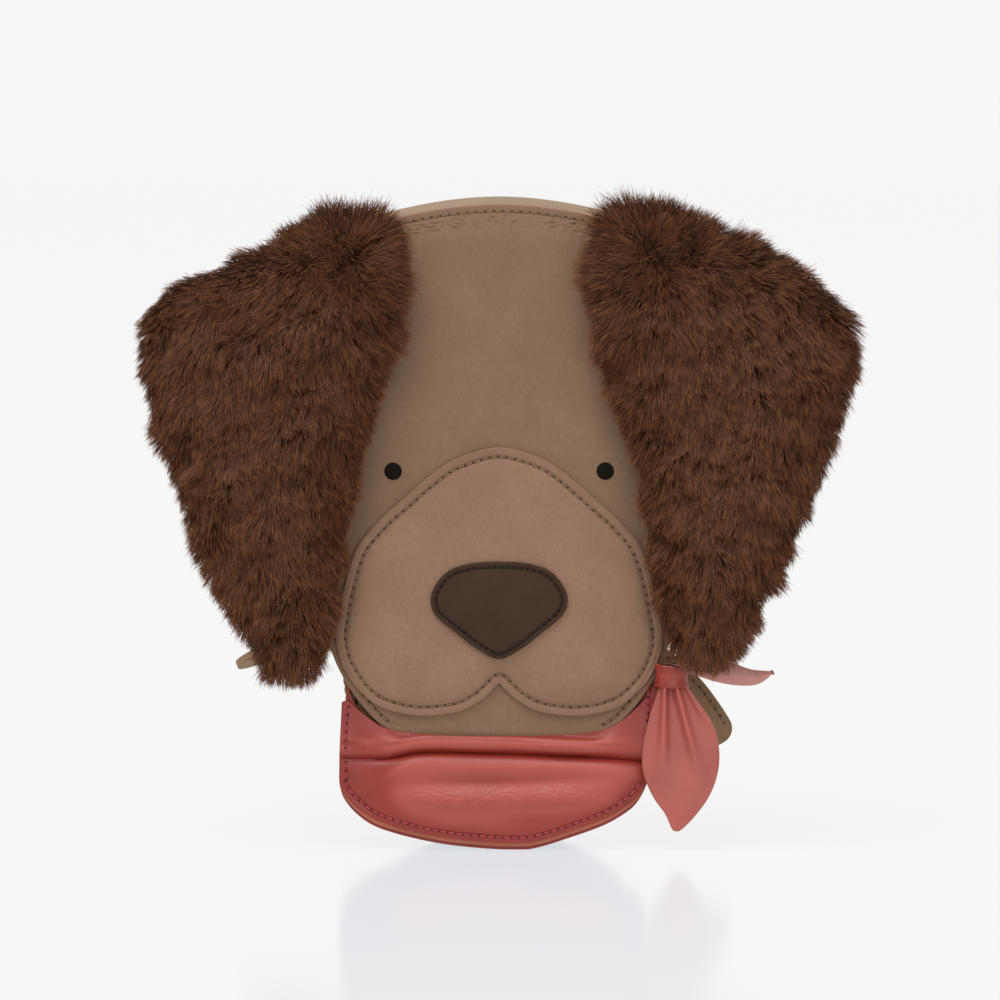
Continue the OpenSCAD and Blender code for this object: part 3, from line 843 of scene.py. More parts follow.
BODY_LEATHER = nubuck("body_leather", srgb(138, 108, 86), srgb(150, 118, 94))
LINING = woven("lining_cloth", srgb(214, 196, 166))
FACE_THREAD = thread("face_thread", srgb(150, 120, 92))
TAN_THREAD = thread("tan_thread", srgb(150, 120, 92))
DARK_THREAD = thread("dark_thread", srgb(52, 38, 28))
PINK_THREAD = thread("pink_thread", srgb(188, 76, 84))


# ---- Face: panel, muzzle, nose, eyes ----------------------------------------------------

FACE_TOP = 213.0
CROWN_RADIUS = 125.0
CHIN = 37.4


def on_crown(x):
    """The point of the arched top of the bag at x."""
    return (x, FACE_TOP - CROWN_RADIUS + math.sqrt(CROWN_RADIUS**2 - x * x))


FACE = Outline(spline(mirrored([
    on_crown(0), on_crown(26), on_crown(48), (65, 189), (72, 168), (72, 145), (69, 120), (64, 96),
    (58, 76), (54, 63), (49.5, 54.5), (44.5, 47.5), (37.5, CHIN + 3.3), (29, CHIN + 0.8),
    (15, CHIN - 0.3), (0, CHIN - 0.5)]), closed=True), 900)
MUZZLE_HALF = [(0, 133.5), (13.5, 130), (21.6, 125), (32, 116), (40, 108.7), (48, 97.5),
               (53.5, 73), (51.5, 61.5), (46, 53.2), (38.4, 47.6), (26.5, 45), (14, 46.2),
               (7, 49.5), (3.2, 52.6), (0, 56)]


def muzzle_outline():
    """Both halves of the muzzle, with a sharp notch where they meet at the bottom."""
    half = np.array(MUZZLE_HALF, float)
    left = half[:0:-1] * [-1, 1]
    return np.vstack([spline(np.vstack([left[7:], half])), spline(left[:8])[1:-1]])


MUZZLE = Outline(muzzle_outline(), 760)
NOSE = Outline(spline(mirrored([
    (0, 96.2), (10, 95.5), (17.5, 92.5), (22.2, 85.5), (21, 79), (13.5, 72.5), (7, 67.5),
    (0, 64.2)]), closed=True), 420)

PITCH, FINE_PITCH = 3.0, 2.4
MUZZLE_INSET, NOSE_INSET = 3.0, 1.8
FACE_CENTRE = (0, 118)
top_wrinkles = Waves(3, 1.7, (1.9, 0.9))
face_waves = Waves(11, 46)
muzzle_waves = Waves(12, 34)


def groove(d, inset, depth=0.45, width=0.7):
    """The furrow that a row of stitches pulls into the leather, in millimetres."""
    return depth * np.exp(-(((d - inset) / width) ** 2))


def holes(d, s, inset, pitch, depth=0.5):
    """The dimples at the ends of a row's stitches, in millimetres."""
    ds = (s + pitch / 2) % pitch - pitch / 2
    return depth * np.exp(-((ds / 0.5) ** 2) - ((d - inset) / 0.42) ** 2)


def face_inset(z):
    """How far inside the edge the face is stitched, less along the top."""
    return 2.5 - 0.4 * smooth_step(z, 176, 197)


def face_relief(x, z, d, s):
    """Height of the face above its plane, in millimetres."""
    top = smooth_step(z, 176, 197)
    swell = 2.1 * (1 - np.exp(-((d / 20) ** 2))) + 0.25 * face_waves(x, z) * smooth_step(d, 4, 18)
    bend = 5.2 * np.clip(1 - d / 11, 0, 1) ** 2 * top
    fold = 0.26 * top_wrinkles(x, z) * smooth_step(d, 2.2, 3.2) * smooth_step(9 - d, 0, 4) * top
    hidden = smooth_step(34 - np.abs(x), 0, 3) * smooth_step(60 - z, 0, 10)
    sewn = groove(d, face_inset(z), 0.35, 0.6) + holes(d, s, face_inset(z), PITCH, 0.3)
    return swell - bend + fold - sewn * (1 - hidden)


def face_y(x, z, d, s):
    return front_of("face_panel") - face_relief(x, z, d, s)


def face_at(x, z):
    return face_y(x, z, *FACE.nearest(x, z))


def muzzle_y(x, z, d, s):
    lower = smooth_step(105 - z, 0, 45)
    swell = (1.5 + 1.5 * lower) * (1 - np.exp(-np.maximum(0, d - 3.0) / 5.5))
    relief = 1.9 + swell + 0.18 * muzzle_waves(x, z) * smooth_step(d, 3, 12)
    return face_at(x, z) - relief + groove(d, MUZZLE_INSET, 0.5) + holes(
        d, s, MUZZLE_INSET, PITCH)


def muzzle_at(x, z):
    return muzzle_y(x, z, *MUZZLE.nearest(x, z))


def nose_y(x, z, d, s):
    swell = 0.9 * (1 - np.exp(-np.maximum(0, d - 1.7) / 3.5))
    sewn = groove(d, NOSE_INSET, 0.35, 0.5)
    return muzzle_at(x, z) - 1.5 - swell + sewn + holes(d, s, NOSE_INSET, FINE_PITCH)


def face_back(x, z, d, s):
    return face_y(x, z, d, s) + back_of("face_panel") - front_of("face_panel") - 0.1


def face_back_at(x, z):
    return face_back(x, z, *FACE.nearest(x, z))


def front_rows(outline, surface, inset, pitch):
    """A closed stitch row on a front surface, set in from its outline."""
    distance = inset(outline.points[:, 1]) if callable(inset) else inset
    path = resample(outline.inset(distance), int(outline.length * 1.2), closed=True)
    y = surface(path[:, 0], path[:, 1], *outline.nearest(path[:, 0], path[:, 1]))
    return at_depth(path, y - ROW_LIFT), np.tile(FRONT, (len(path), 1)), pitch, True


def make_face():
    panel = patch("face_panel_leather", FACE, face_y, face_back, centre=FACE_CENTRE,
                  inner_rings=66, rim=np.arange(0, 9.4, 0.35))
    finish_piece(panel, "flap", FACE_LEATHER, ["face_panel"])
    points, normals, pitch, _ = front_rows(FACE, face_y, face_inset, PITCH)
    hidden = (np.abs(points[:, 0]) < 34) & (points[:, 2] < 60)
    first = int(np.flatnonzero(hidden)[-1]) + 1
    order = np.roll(np.arange(len(points)), -first)
    order = order[~hidden[order]]
    stitches("face_stitches", [(points[order], normals[order], pitch, False)], "flap",
             FACE_THREAD)
    muzzle = patch("muzzle_leather", MUZZLE, muzzle_y, behind(face_at, -0.05), centre=(0, 84),
                   inner_rings=46)
    finish_piece(muzzle, "flap", MUZZLE_LEATHER, ["muzzle_patch"])
    stitches("muzzle_stitches", [front_rows(MUZZLE, muzzle_y, MUZZLE_INSET, PITCH)], "flap",
             TAN_THREAD)
    nose = patch("nose_leather", NOSE, nose_y, behind(muzzle_at, -0.05), inner_rings=26)
    finish_piece(nose, "flap", NOSE_SUEDE, ["nose_patch"])
    stitches("nose_stitches", [front_rows(NOSE, nose_y, NOSE_INSET, FINE_PITCH)], "flap",
             DARK_THREAD)


def make_eyes():
    look = Look("eye_black", roughness=0.6, gloss=0.05)
    speck = look.noise(0.8, detail=3)
    look.set("Base Color", look.mix(speck, srgb(12, 10, 6), srgb(24, 20, 15)))
    look.bump(look.noise(0.7), 0.03)
    for node in ("eye_left", "eye_right"):
        low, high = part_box(node)
        x, z = (low.x + high.x) / 2 / MM, (low.z + high.z) / 2 / MM
        radius = (high.x - low.x) / 2 / MM
        angle = full_turn(96)
        disc = Outline(np.stack([x + radius * np.cos(angle), z + radius * np.sin(angle)], 1), 96)
        base = float(face_at(np.array([x]), np.array([z]))[0])
        eye = patch(node + "_disc", disc,
                    lambda x, z, d, s, y=base - 0.45: y - 0.12 * smooth_step(d, 0.2, 1.6),
                    flat_at(base + 0.3), inner_rings=6, rim=[0, 0.15, 0.35, 0.6, 1.0])
        finish_piece(eye, "flap", look.material, [node])


# ---- Plush ears -------------------------------------------------------------------------

EAR_OUTLINES = {
    "right": [(38, 207), (33.5, 190), (36.5, 168), (43, 146), (49, 121), (52.5, 95), (56.5, 74),
              (64, 66), (74, 66), (82, 80), (92, 99), (102, 122), (110, 145), (114.5, 163),
              (112, 178), (99, 189), (82, 199), (66, 206), (51, 211)],
    "left": [(-38, 205), (-34.5, 190), (-38, 169), (-44, 147), (-50, 121), (-54.5, 94),
             (-57, 74), (-62, 63), (-70, 60), (-77, 67), (-85, 80), (-94, 98), (-102, 118),
             (-107.5, 135), (-112, 151), (-114.5, 168), (-111, 181), (-92, 191), (-75, 198),
             (-62, 206), (-50, 209)],
}
FLOW_START = {"right": (44, 217), "left": (-45, 216)}
SKIN_INSET = 0.2
SKIN_HEIGHT = 12.5
STRANDS = 88000
STRAND_LENGTH = 9.2
STRAND_WIDTH = 0.19
TUFT_AREA = 1.5
PULL, PULL_LOST = 0.42, 0.28  # how far tufts draw strands in, and what the parting takes off it
STRAND_STEPS = (0.0, 0.33, 0.68, 1.0)
STRAND_POINTS = len(STRAND_STEPS)
PARTS_PER_EAR = 3


def plush_material():
    """Pile coloured dark at its roots as painted shade deep in the pile, and lighter at its tips
    as painted light through them.
    """
    look = Look("plush_fibre", roughness=0.55, gloss=0.12)
    along, tint = look.attribute("along"), look.attribute("tint")
    # Painted shade at the roots and painted light at the tips: the colour runs from dark to light
    # along each strand.
    root, middle, tip = srgb(27, 14, 9), srgb(60, 36, 23), srgb(146, 104, 78)
    tone = look.mix(look.level(along, 0.0, 0.5), root, middle)
    tone = look.mix(look.level(along, 0.45, 1.0), tone, tip)
    warm = look.mix(look.noise(14), srgb(255, 222, 196), srgb(250, 238, 228))
    tone = look.mix(1.0, tone, warm, blend="MULTIPLY")
    look.set("Base Color", look.mix(look.level(tint, 0.1, 0.9, 0.0, 0.75), tone, srgb(40, 21, 12)))
    look.set("Sheen Weight", 0.05)
    look.set("Sheen Roughness", 0.45)
    look.set("Sheen Tint", (1.0, 0.85, 0.75))
    return look.material


class Ear:
    """The padded skin of an ear and the flow of the pile on it."""

    def __init__(self, side):
        self.side = side
        shape = spline(EAR_OUTLINES[side], steps=6, closed=True)
        self.skin = Outline(Outline(shape, 500).inset(SKIN_INSET), 260)
        self.back = back_of("ear_plush_" + side)
        self.waves = Waves(31 if side == "right" else 41, 38)
        self.turn = Waves(32 if side == "right" else 42, 17)
        self.lift = Waves(33 if side == "right" else 43, 9)

    def height(self, x, z, d):
        dome = 1 - np.exp(-(np.maximum(d, 0) / 9.5) ** 1.25)
        return SKIN_HEIGHT * dome + 1.0 * self.waves(x, z) * smooth_step(d, 2, 16)

    def y(self, x, z, d, s):
        return self.back - 0.6 - self.height(x, z, d)

    def inside(self, x, z):
        """Distance inside the skin's edge, negative outside."""
        d, s = self.skin.nearest(x, z)
        p = self.skin.points
        k = (s / self.skin.length * len(p)).round().astype(int) % len(p)
        t = np.roll(p, -1, 0)[k] - np.roll(p, 1, 0)[k]
        away = np.stack([x - p[k, 0], z - p[k, 1]], 1)
        return np.where(t[:, 0] * away[:, 1] - t[:, 1] * away[:, 0] > 0, d, -d)

    def normal(self, x, z):
        e = 0.4
        h = [self.height(x + a, z + b, self.inside(x + a, z + b))
             for a, b in ((e, 0), (-e, 0), (0, e), (0, -e))]
        n = np.stack([-(h[0] - h[1]) / (2 * e), -np.ones(len(x)), -(h[2] - h[3]) / (2 * e)], 1)
        return unit(n)

    def flow(self, x, z):
        """Unit directions of the pile in XZ: it fans out from the seam and hangs lower down."""
        start = np.array(FLOW_START[self.side], float)
        away = np.stack([x, z], 1) - start
        reach = np.linalg.norm(away, axis=1)[:, None]
        fan = away / np.maximum(reach, 1e-6)
        hang = smooth_step(reach[:, 0], 30, 105)[:, None] * 0.8 + 0.12
        mixed = fan * (1 - hang) + np.array([0.0, -1.0]) * hang
        angle = np.arctan2(mixed[:, 1], mixed[:, 0]) + 0.32 * self.turn(x, z)
        return np.stack([np.cos(angle), np.sin(angle)], 1)

    def scatter(self, rng, count):
        """Points on the skin, closer together near its steep rim and where the pile parts."""
        low, high = self.skin.points.min(0), self.skin.points.max(0)
        found = []
        while sum(len(f) for f in found) < count:
            q = rng.uniform(low, high, (count, 2))
            d = self.inside(q[:, 0], q[:, 1])
            away = np.linalg.norm(q - np.array(FLOW_START[self.side]), axis=1)
            near = np.maximum(np.exp(-np.maximum(d, 0) / 4), np.exp(-((away / 30) ** 4)))
            keep = (d > 0.05) & (rng.random(count) < 0.42 + 0.58 * near)
            found.append(q[keep])
        return np.concatenate(found)[:count]

    def strands(self, rng, q, wild):
        """Curved centre lines, (strands, points, 3), for roots q."""
        x, z = q[:, 0], q[:, 1]
        d = self.inside(x, z)
        n = self.normal(x, z)
        f = self.flow(x, z)
        flow = np.stack([f[:, 0], np.zeros(len(q)), f[:, 1]], 1)
        flow -= n * (flow * n).sum(1)[:, None]
        flow = unit(flow)
        lift = 0.85 + 0.35 * self.lift(x, z)[:, None]
        rim = smooth_step(8 - d, 0, 8)[:, None]
        reach = np.linalg.norm(q - np.array(FLOW_START[self.side]), axis=1)
        lay = 0.3 + 0.7 * smooth_step(reach, 13, 44)[:, None]
        start = n * (lift + 0.45) + flow * 0.45 * lay + rng.normal(0, 0.16 * wild, (len(q), 3))
        end = n * (0.55 * lift + 0.4 * (1 - lay)) + flow * 0.85 * lay
        end += rng.normal(0, 0.22 * wild, (len(q), 3)) * (1 + 1.6 * (1 - lay))
        inner = (smooth_step(56 - np.abs(x), 0, 22) * smooth_step(z, 120, 165))[:, None]
        end += n * 0.75 * rim + [0, 0, -0.12]
        end += inner * np.array([-0.5 if self.side == "right" else 0.5, 0, 0.3])
        crest = smooth_step(z, 182, 208)
        end += crest[:, None] * np.array([0, 0, 0.45])
        length = STRAND_LENGTH * (1 + 0.16 * rng.normal(0, 1, len(q)).clip(-2, 2))
        length *= (0.88 + 0.1 * self.turn(z, x)) * (1 + 0.3 * inner[:, 0]) * (1 + 0.2 * crest)
        root = np.stack([x, self.y(x, z, d, None), z], 1)
        t = np.array(STRAND_STEPS)[None, :, None]
        bend = 2 * t * (1 - t) * 0.5
        span = length[:, None, None]
        return (root[:, None] + span * (unit(start)[:, None] * (bend + 0.42 * t * t)
                                        + unit(end)[:, None] * 0.58 * t * t)), n


def closest(points, centres):
    """The index of the centre nearest to each point."""
    best = np.empty(len(points), int)
    for i in range(0, len(points), BATCH):
        best[i:i + BATCH] = ((points[i:i + BATCH, None] - centres[None]) ** 2).sum(2).argmin(1)
    return best


def blades(lines, n, rng):
    """Both edges of each strand's flat blade, and the directions that it is shaded in."""
    way = unit(np.gradient(lines, axis=1))
    face = unit(n[:, None] - way * (way * n[:, None]).sum(2)[..., None], 1e-6)
    side = np.cross(way, face)
    roll = rng.uniform(-0.9, 0.9, len(lines))[:, None, None]
    across = side * np.cos(roll) + face * np.sin(roll)
    width = STRAND_WIDTH / 2 * rng.uniform(0.7, 1.25, len(lines))[:, None, None]
    taper = np.array([0.9, 1.0, 0.85, 0.28])[None, :, None]
    shade = unit(face + 0.45 * n[:, None] + rng.normal(0, 0.12, face.shape))
    return lines - across * width * taper, lines + across * width * taper, shade


def add_fur(ear, material, seed):
    """Strands that lean together in tufts, as a few meshes from the ear's tip to its top."""
    rng = np.random.default_rng(seed)
    tufts = ear.scatter(rng, int(polygon_area(ear.skin.points) / TUFT_AREA))
    guides, _ = ear.strands(rng, tufts, wild=1.15)
    roots = ear.scatter(rng, STRANDS)
    lines, n = ear.strands(rng, roots, wild=1.0)
    mine = closest(roots, tufts)
    near = np.linalg.norm(roots - np.array(FLOW_START[ear.side]), axis=1)
    t = np.array(STRAND_STEPS)[None, :, None]
    gather = guides[mine] + (lines[:, :1] - guides[mine][:, :1]) * (1 - 0.5 * t)
    pull = (PULL - PULL_LOST * np.exp(-((near / 26) ** 4)))[:, None, None] * t**0.9
    lines = lines * (1 - pull) + gather * pull
    lines = np.concatenate([lines[:, :1], lines[:, 1:] + rng.normal(
        0, 0.10, lines[:, 1:].shape) * t[:, 1:]], 1)
    left, right, shade = blades(lines, n, rng)
    tint = 0.35 * rng.random(len(tufts))[mine] + 0.65 * rng.random(len(roots))
    # Painted light at the silhouette's fringe, and less painted root shade where the pile parts:
    # strands near the skin's rim and near the parting start their colour further towards the tip.
    pale = 0.5 * np.maximum(smooth_step(5 - ear.inside(roots[:, 0], roots[:, 1]), 0, 5),
                            np.exp(-((near / 30) ** 4)))
    cells = int(math.ceil(math.sqrt(len(tufts))))
    corner = np.stack([mine % cells, mine // cells], 1) / cells
    across_cell = rng.uniform(0.15, 0.7, len(roots))
    order = np.argsort(roots[:, 1])
    for part, index in enumerate(np.array_split(order, PARTS_PER_EAR)):
        count = len(index)
        verts = np.stack([left[index], right[index]], 2).reshape(-1, 3)
        normals = np.repeat(shade[index][:, :, None], 2, 2).reshape(-1, 3)
        along = np.tile(np.repeat(t[0, :, 0], 2), count)
        paler = np.repeat(pale[index], 2 * STRAND_POINTS)
        base = np.arange(count)[:, None] * 2 * STRAND_POINTS
        quad = np.array([[2 * k, 2 * k + 1, 2 * k + 3, 2 * k + 2]
                         for k in range(STRAND_POINTS - 1)])
        faces = (base[:, :, None] + quad[None]).reshape(-1, 4)
        obj = add_mesh(f"ear_fur_{ear.side}_{part + 1}", verts, faces, {
            "along": paler + (1 - paler) * along,
            "tint": np.repeat(tint[index], 2 * STRAND_POINTS)})
        obj.data.normals_split_custom_set_from_vertices(normals)
        layer = obj.data.uv_layers.new(name="OFBake")
        u = np.repeat(corner[index, 0] + across_cell[index] / cells, 2 * STRAND_POINTS)
        u += np.tile([0, 0.1 / cells], count * STRAND_POINTS)
        v = np.repeat(corner[index, 1], 2 * STRAND_POINTS) + (0.1 + 0.8 * along) / cells
        layer.data.foreach_set("uv", np.stack([u, v], 1)[faces.ravel()].astype(np.float32).ravel())
        finish_piece(obj, "ear_" + ear.side, material)


def make_ears():
    fibre = plush_material()
    for seed, side in ((51, "right"), (61, "left")):
        ear = Ear(side)
        pad = patch(f"ear_pad_{side}", ear.skin, ear.y, flat_at(ear.back - 0.1), inner_rings=36,
                    bevel=0.1)
        # The skin between the strands takes the pile's colour at 0.3 of the way from root to tip:
        # dark, as the painted root shade.
        pad.data.attributes.new("along", "FLOAT", "POINT").data.foreach_set(
            "value", np.full(len(pad.data.vertices), 0.3, np.float32))
        finish_piece(pad, "ear_" + side, fibre, ["ear_plush_" + side])
        add_fur(ear, fibre, seed)


# ---- Bandana ----------------------------------------------------------------------------

FOLD_TOP = spline([(-51.9, 49.1), (-50.0, 49.6), (-45.5, 46.0), (-38, 41.0), (-29, 39.2),
                   (-15, 38.4), (0, 38.2), (15, 38.4), (29, 39.2), (38, 41.6), (45.5, 47.6),
                   (49.8, 52.5), (54, 58.6)], 14)
BACK_TOP = spline([(-50.6, 57.5), (-49.4, 51), (-45.5, 45), (-38, 40), (-29, 38), (-15, 37.2),
                   (0, 37), (15, 37.2), (29, 38), (38, 40.4), (45.5, 46.4), (48.8, 52),
                   (53.4, 57.6)], 14)
CREASE = spline([(-52.7, 30.9), (-44, 30.5), (-36, 30.8), (-24, 32.6), (0, 32.2), (30, 31),
                 (53.5, 29.2)], 20)
PANEL_BOTTOM = np.vstack([
    spline([(-52.8, 24), (-51.5, 19.1), (-43.7, 11.8), (-34, 7.9), (-19.3, 4.6), (-4.7, 3.0),
            (5, 2.6), (10, 2.7)], 20)[:-1],
    spline([(10, 2.7), (14, 3.6), (19.9, 5.4), (34.5, 10.6), (43.3, 15.8), (47.4, 20),
            (49.8, 24.5)], 20)])
LEAF_OUTLINE = [(60.9, 55.2), (65.3, 49.9), (69.7, 43.3), (71.9, 37.1), (72.4, 30), (71, 23),
                (68, 16.8), (63.5, 11), (60, 7.6), (58.4, 7.1), (56.9, 7.9), (54.7, 12.8),
                (51.2, 17.7), (48.5, 23.4), (47.2, 28.5), (47.5, 35.5), (49.2, 43.3),
                (51.5, 51), (53.5, 55.2)]
BACK_OF_CREASE = -25.05
SCARF_LEATHER = 1.1
SCARF_PITCH = 2.6
fold_waves = Waves(71, 17, (2.2, 1))
panel_waves = Waves(72, 26, (1.6, 1))
panel_wrinkles = creases(73, 2.4, (2.6, 0.9))
corner_pleats = Waves(77, 4.2, (3.2, 0.8))


def crease_z(x):
    """The height of the crease between the scarf's fold and its panel."""
    return np.interp(x, CREASE[:, 0], CREASE[:, 1])


def fold_y(x, z):
    """The rolled band between the chin and the crease."""
    q = (z - crease_z(x)) / 7.4
    middle = 1 - smooth_step(np.abs(x), 30, 46)
    fall = np.clip((q - 0.5) / (0.5 + 1.6 * (1 - middle)), 0, 1)
    roll = np.where(q < 0.5, np.sin(math.pi * np.clip(q, 0, 0.5)) ** 0.75,
                    0.5 + 0.5 * np.cos(math.pi * fall))
    lip = 1.2 * middle * smooth_step(q, 0.55, 0.8)
    high = 3.3 - 1.0 * (1 - middle)
    pleat = smooth_step(-x, 28, 46) * smooth_step(9 - (z - crease_z(x)), 0, 6)
    return (BACK_OF_CREASE + 0.1 - high * roll - lip + 0.2 * fold_waves(x, z) * roll
            - 0.2 * corner_pleats(x, z) * pleat)


def panel_y(x, z):
    """The lower panel: it swells below the crease, dips, and swells again in fine wrinkles."""
    q = crease_z(x) - z
    d = np.maximum(z - np.interp(x, PANEL_BOTTOM[:, 0], PANEL_BOTTOM[:, 1]), 0)
    middle = np.exp(-((x - 2) / 31) ** 4)
    left = smooth_step(-x, 26, 46)
    swell = (1 - np.exp(-np.maximum(q, 0) / 1.5)) * (3.7 - 1.9 * left)
    dip = 1.3 * middle * np.exp(-(((z - 23.2 - 0.02 * x) / 2.8) ** 2))
    belly = 1.3 * middle * np.exp(-(((z - 17.4) / 3.4) ** 2))
    fall = 2.3 * (1 - smooth_step(d, -3, 13)) + 0.7 * smooth_step(np.abs(x), 34, 52)
    zone = np.exp(-(((x - 1) / 31) ** 4)) * np.exp(-(((z - 18.2 - 0.03 * x) / 3.8) ** 2))
    diagonal = 0.4 * np.exp(-(((z - 24 - 0.55 * (x + 38)) / 1.4) ** 2)) * smooth_step(-x, 27, 33)
    y = (BACK_OF_CREASE - swell + dip - belly + fall - 0.34 * panel_wrinkles(x, z) * zone
         - diagonal + 0.22 * panel_waves(x, z) * smooth_step(d, 1, 8))
    return np.minimum(y, -24.9) + groove(d, 2.1, 0.18, 0.5)


def raised(curve, dz, dy):
    """A bottom curve moved for the next layer of leather: dz lower in its middle."""
    low = smooth_step(27 - curve[:, 1], 0, 12)
    return np.stack([curve[:, 0] * 0.997, np.full(len(curve), dy), curve[:, 1] - dz * low], 1)


def front_path(points, surface):
    """An open stitch row on a front surface."""
    path = resample(np.asarray(points, float), 200)
    y = surface(path[:, 0], path[:, 1])
    return at_depth(path, y - ROW_LIFT), np.tile(FRONT, (len(path), 1)), SCARF_PITCH, False


def flat_grid(first, last, surface, columns, step):
    """A grid between two curves in XZ, laid on a front surface."""
    a, b = resample(first, columns), resample(last, columns)
    u = edged(lengths(a)[-1], lengths(a)[-1] / columns)
    way = np.linspace(0, 1, columns)
    a, b = [np.stack([np.interp(u, way, c[:, k]) for k in (0, 1)], 1) for c in (a, b)]
    v = edged(float(np.linalg.norm(a - b, axis=1).max()), step)
    xz = between(a, b, v)
    return np.stack([xz[..., 0], surface(xz[..., 0], xz[..., 1]), xz[..., 1]], -1)[:, ::-1]


def painted_highlight_on_tops(grid, centre, low, high):
    """Where a highlight is painted on the leather: on what stands out most."""
    return smooth_step(centre - grid[..., 1], low, high)


def make_bandana():
    fold = flat_grid(FOLD_TOP, CREASE, fold_y, 260, 0.35)
    # A painted highlight along the roll's most forward part.
    obj = slab("bandana_fold_leather", fold, SCARF_LEATHER, out=FRONT,
               values={"painted_highlight": painted_highlight_on_tops(fold, -26.2, 0.4, 2.0)})
    finish_piece(obj, "pouch", RED_LEATHER, ["bandana_fold"])
    panel = flat_grid(CREASE, PANEL_BOTTOM, panel_y, 420, 0.3)
    # A painted highlight on the panel's swells that stand furthest forward.
    obj = slab("bandana_panel_leather", panel, SCARF_LEATHER, out=FRONT,
               values={"painted_highlight": painted_highlight_on_tops(panel, -26.6, 0.3, 1.9)})
    finish_piece(obj, "pouch", RED_LEATHER, ["bandana_panel"])
    edge_seam = PANEL_BOTTOM[14:-10] * [0.972, 1] + [0, 2.1]
    rows = [front_path(edge_seam, panel_y),
            front_path([(-50.6, 29.5), (-50.2, 21)], panel_y),
            front_path([(-49.6, 47.8), (-50.3, 41), (-50.7, 32)], fold_y),
            front_path([(49.0, 56), (49.2, 48), (48.6, 41)], fold_y)]
    stitches("bandana_stitches", rows, "pouch", PINK_THREAD)
    for name, material, top, lower, front, thick, replaced in (
            ("bandana_middle_layer", PALE_LEATHER, FOLD_TOP - [0, 3.5], 1.3, -23.7, 1.3, []),
            ("bandana_back_layer", RED_LEATHER, BACK_TOP, 2.6, -22.3, 1.8, ["bandana_backing"])):
        low = resample(raised(PANEL_BOTTOM, lower, front), 220)
        high = resample(at_depth(top * [0.985, 1], front), 220)
        grid = between(high, low, edged(30, 1.2))[:, ::-1]
        grid[..., 2] = np.maximum(grid[..., 2], 0.05)
        obj = slab(name, grid, thick, values={"painted_highlight": np.zeros(grid.shape[:2])})
        finish_piece(obj, "pouch", material, replaced)
        cut_from(np.vstack([high, low[::-1]])[:, [0, 2]], "gusset_leather")


KNOT_CENTRE = (56.6, -27.6)
KNOT_SIZE = (5.5, 5.3)


def make_knot():
    angle = full_turn(120)
    v = edged(6.6, 0.35)[:, None]
    squeeze = 1 - 0.06 * np.cos(math.pi * (v - 0.5) * 2)
    lean = 0.9 * (1 - v)
    wrinkle = 1 + 0.012 * np.sin(5 * angle + 9 * v) + 0.01 * np.sin(11 * angle - 5 * v)
    x = KNOT_CENTRE[0] + lean * 0.4 + KNOT_SIZE[0] * np.cos(angle) * squeeze * wrinkle
    y = KNOT_CENTRE[1] + KNOT_SIZE[1] * np.sin(angle) * squeeze * wrinkle
    top = 61.6 - 0.13 * (x - KNOT_CENTRE[0])
    z = top * (1 - v) + (54.6 - 0.04 * (x - KNOT_CENTRE[0])) * v
    grid = np.stack([x, y, z], -1)[:, ::-1]
    # A painted highlight in a band round the knot's middle.
    obj = slab("knot_band_leather", grid, SCARF_LEATHER, wrap=True, values={
        "painted_highlight": 0.5 * np.exp(-((v - 0.45) / 0.2) ** 2) * np.ones_like(x)})
    finish_piece(obj, "pouch", RED_LEATHER, ["knot_band"])


def leaf_ridge(x, z, top, foot, width, height):
    """A pleat that runs from the knot and fades out downwards."""
    way = np.clip((top[1] - z) / (top[1] - foot[1]), -0.2, 1.4)
    middle = top[0] + (foot[0] - top[0]) * way
    fade = smooth_step(1.12 - way, 0, 0.65)
    spread = width * (0.65 + 0.75 * np.clip(way, 0, 1))
    return height * fade * np.exp(-(((x - middle) / spread) ** 2))


def make_leaf():
    outline = Outline(spline(LEAF_OUTLINE, closed=True), 520)
    front = front_of("scarf_leaf")
    ripple = Waves(81, 15, (1, 1.8))

    def surface(x, z, d, s):
        gather = smooth_step(z, 24, 52)
        pleats = (leaf_ridge(x, z, (54.4, 55), (53.8, 26), 1.5, 2.9)
                  + leaf_ridge(x, z, (58.2, 55), (66.2, 25), 1.6, 2.9)
                  + leaf_ridge(x, z, (61.4, 55), (69, 42), 1.2, 1.2))
        dish = 0.9 * np.exp(-((x - 59.5) / 8) ** 2) * np.exp(-((z - 19) / 9) ** 2)
        curl = 0.8 * (1 - smooth_step(d, 0, 4.5)) * (1 - gather)
        detail = 0.12 * ripple(x, z)
        return front + 1.35 - pleats - dish + curl * 0.5 + 0.5 * gather + detail

    obj = patch("scarf_leaf_leather", outline, surface,
                lambda x, z, d, s: surface(x, z, d, s) + 1.15, centre=(59.5, 31), inner_rings=70)
    # A painted highlight on the parts of the leaf that stand furthest forward.
    set_points(obj, "painted_highlight", lambda v: smooth_step(front + 0.6 - v[:, 1], 0.0, 2.2) * 0.9)
    finish_piece(obj, "leaf", LEAF_LEATHER, ["scarf_leaf"])


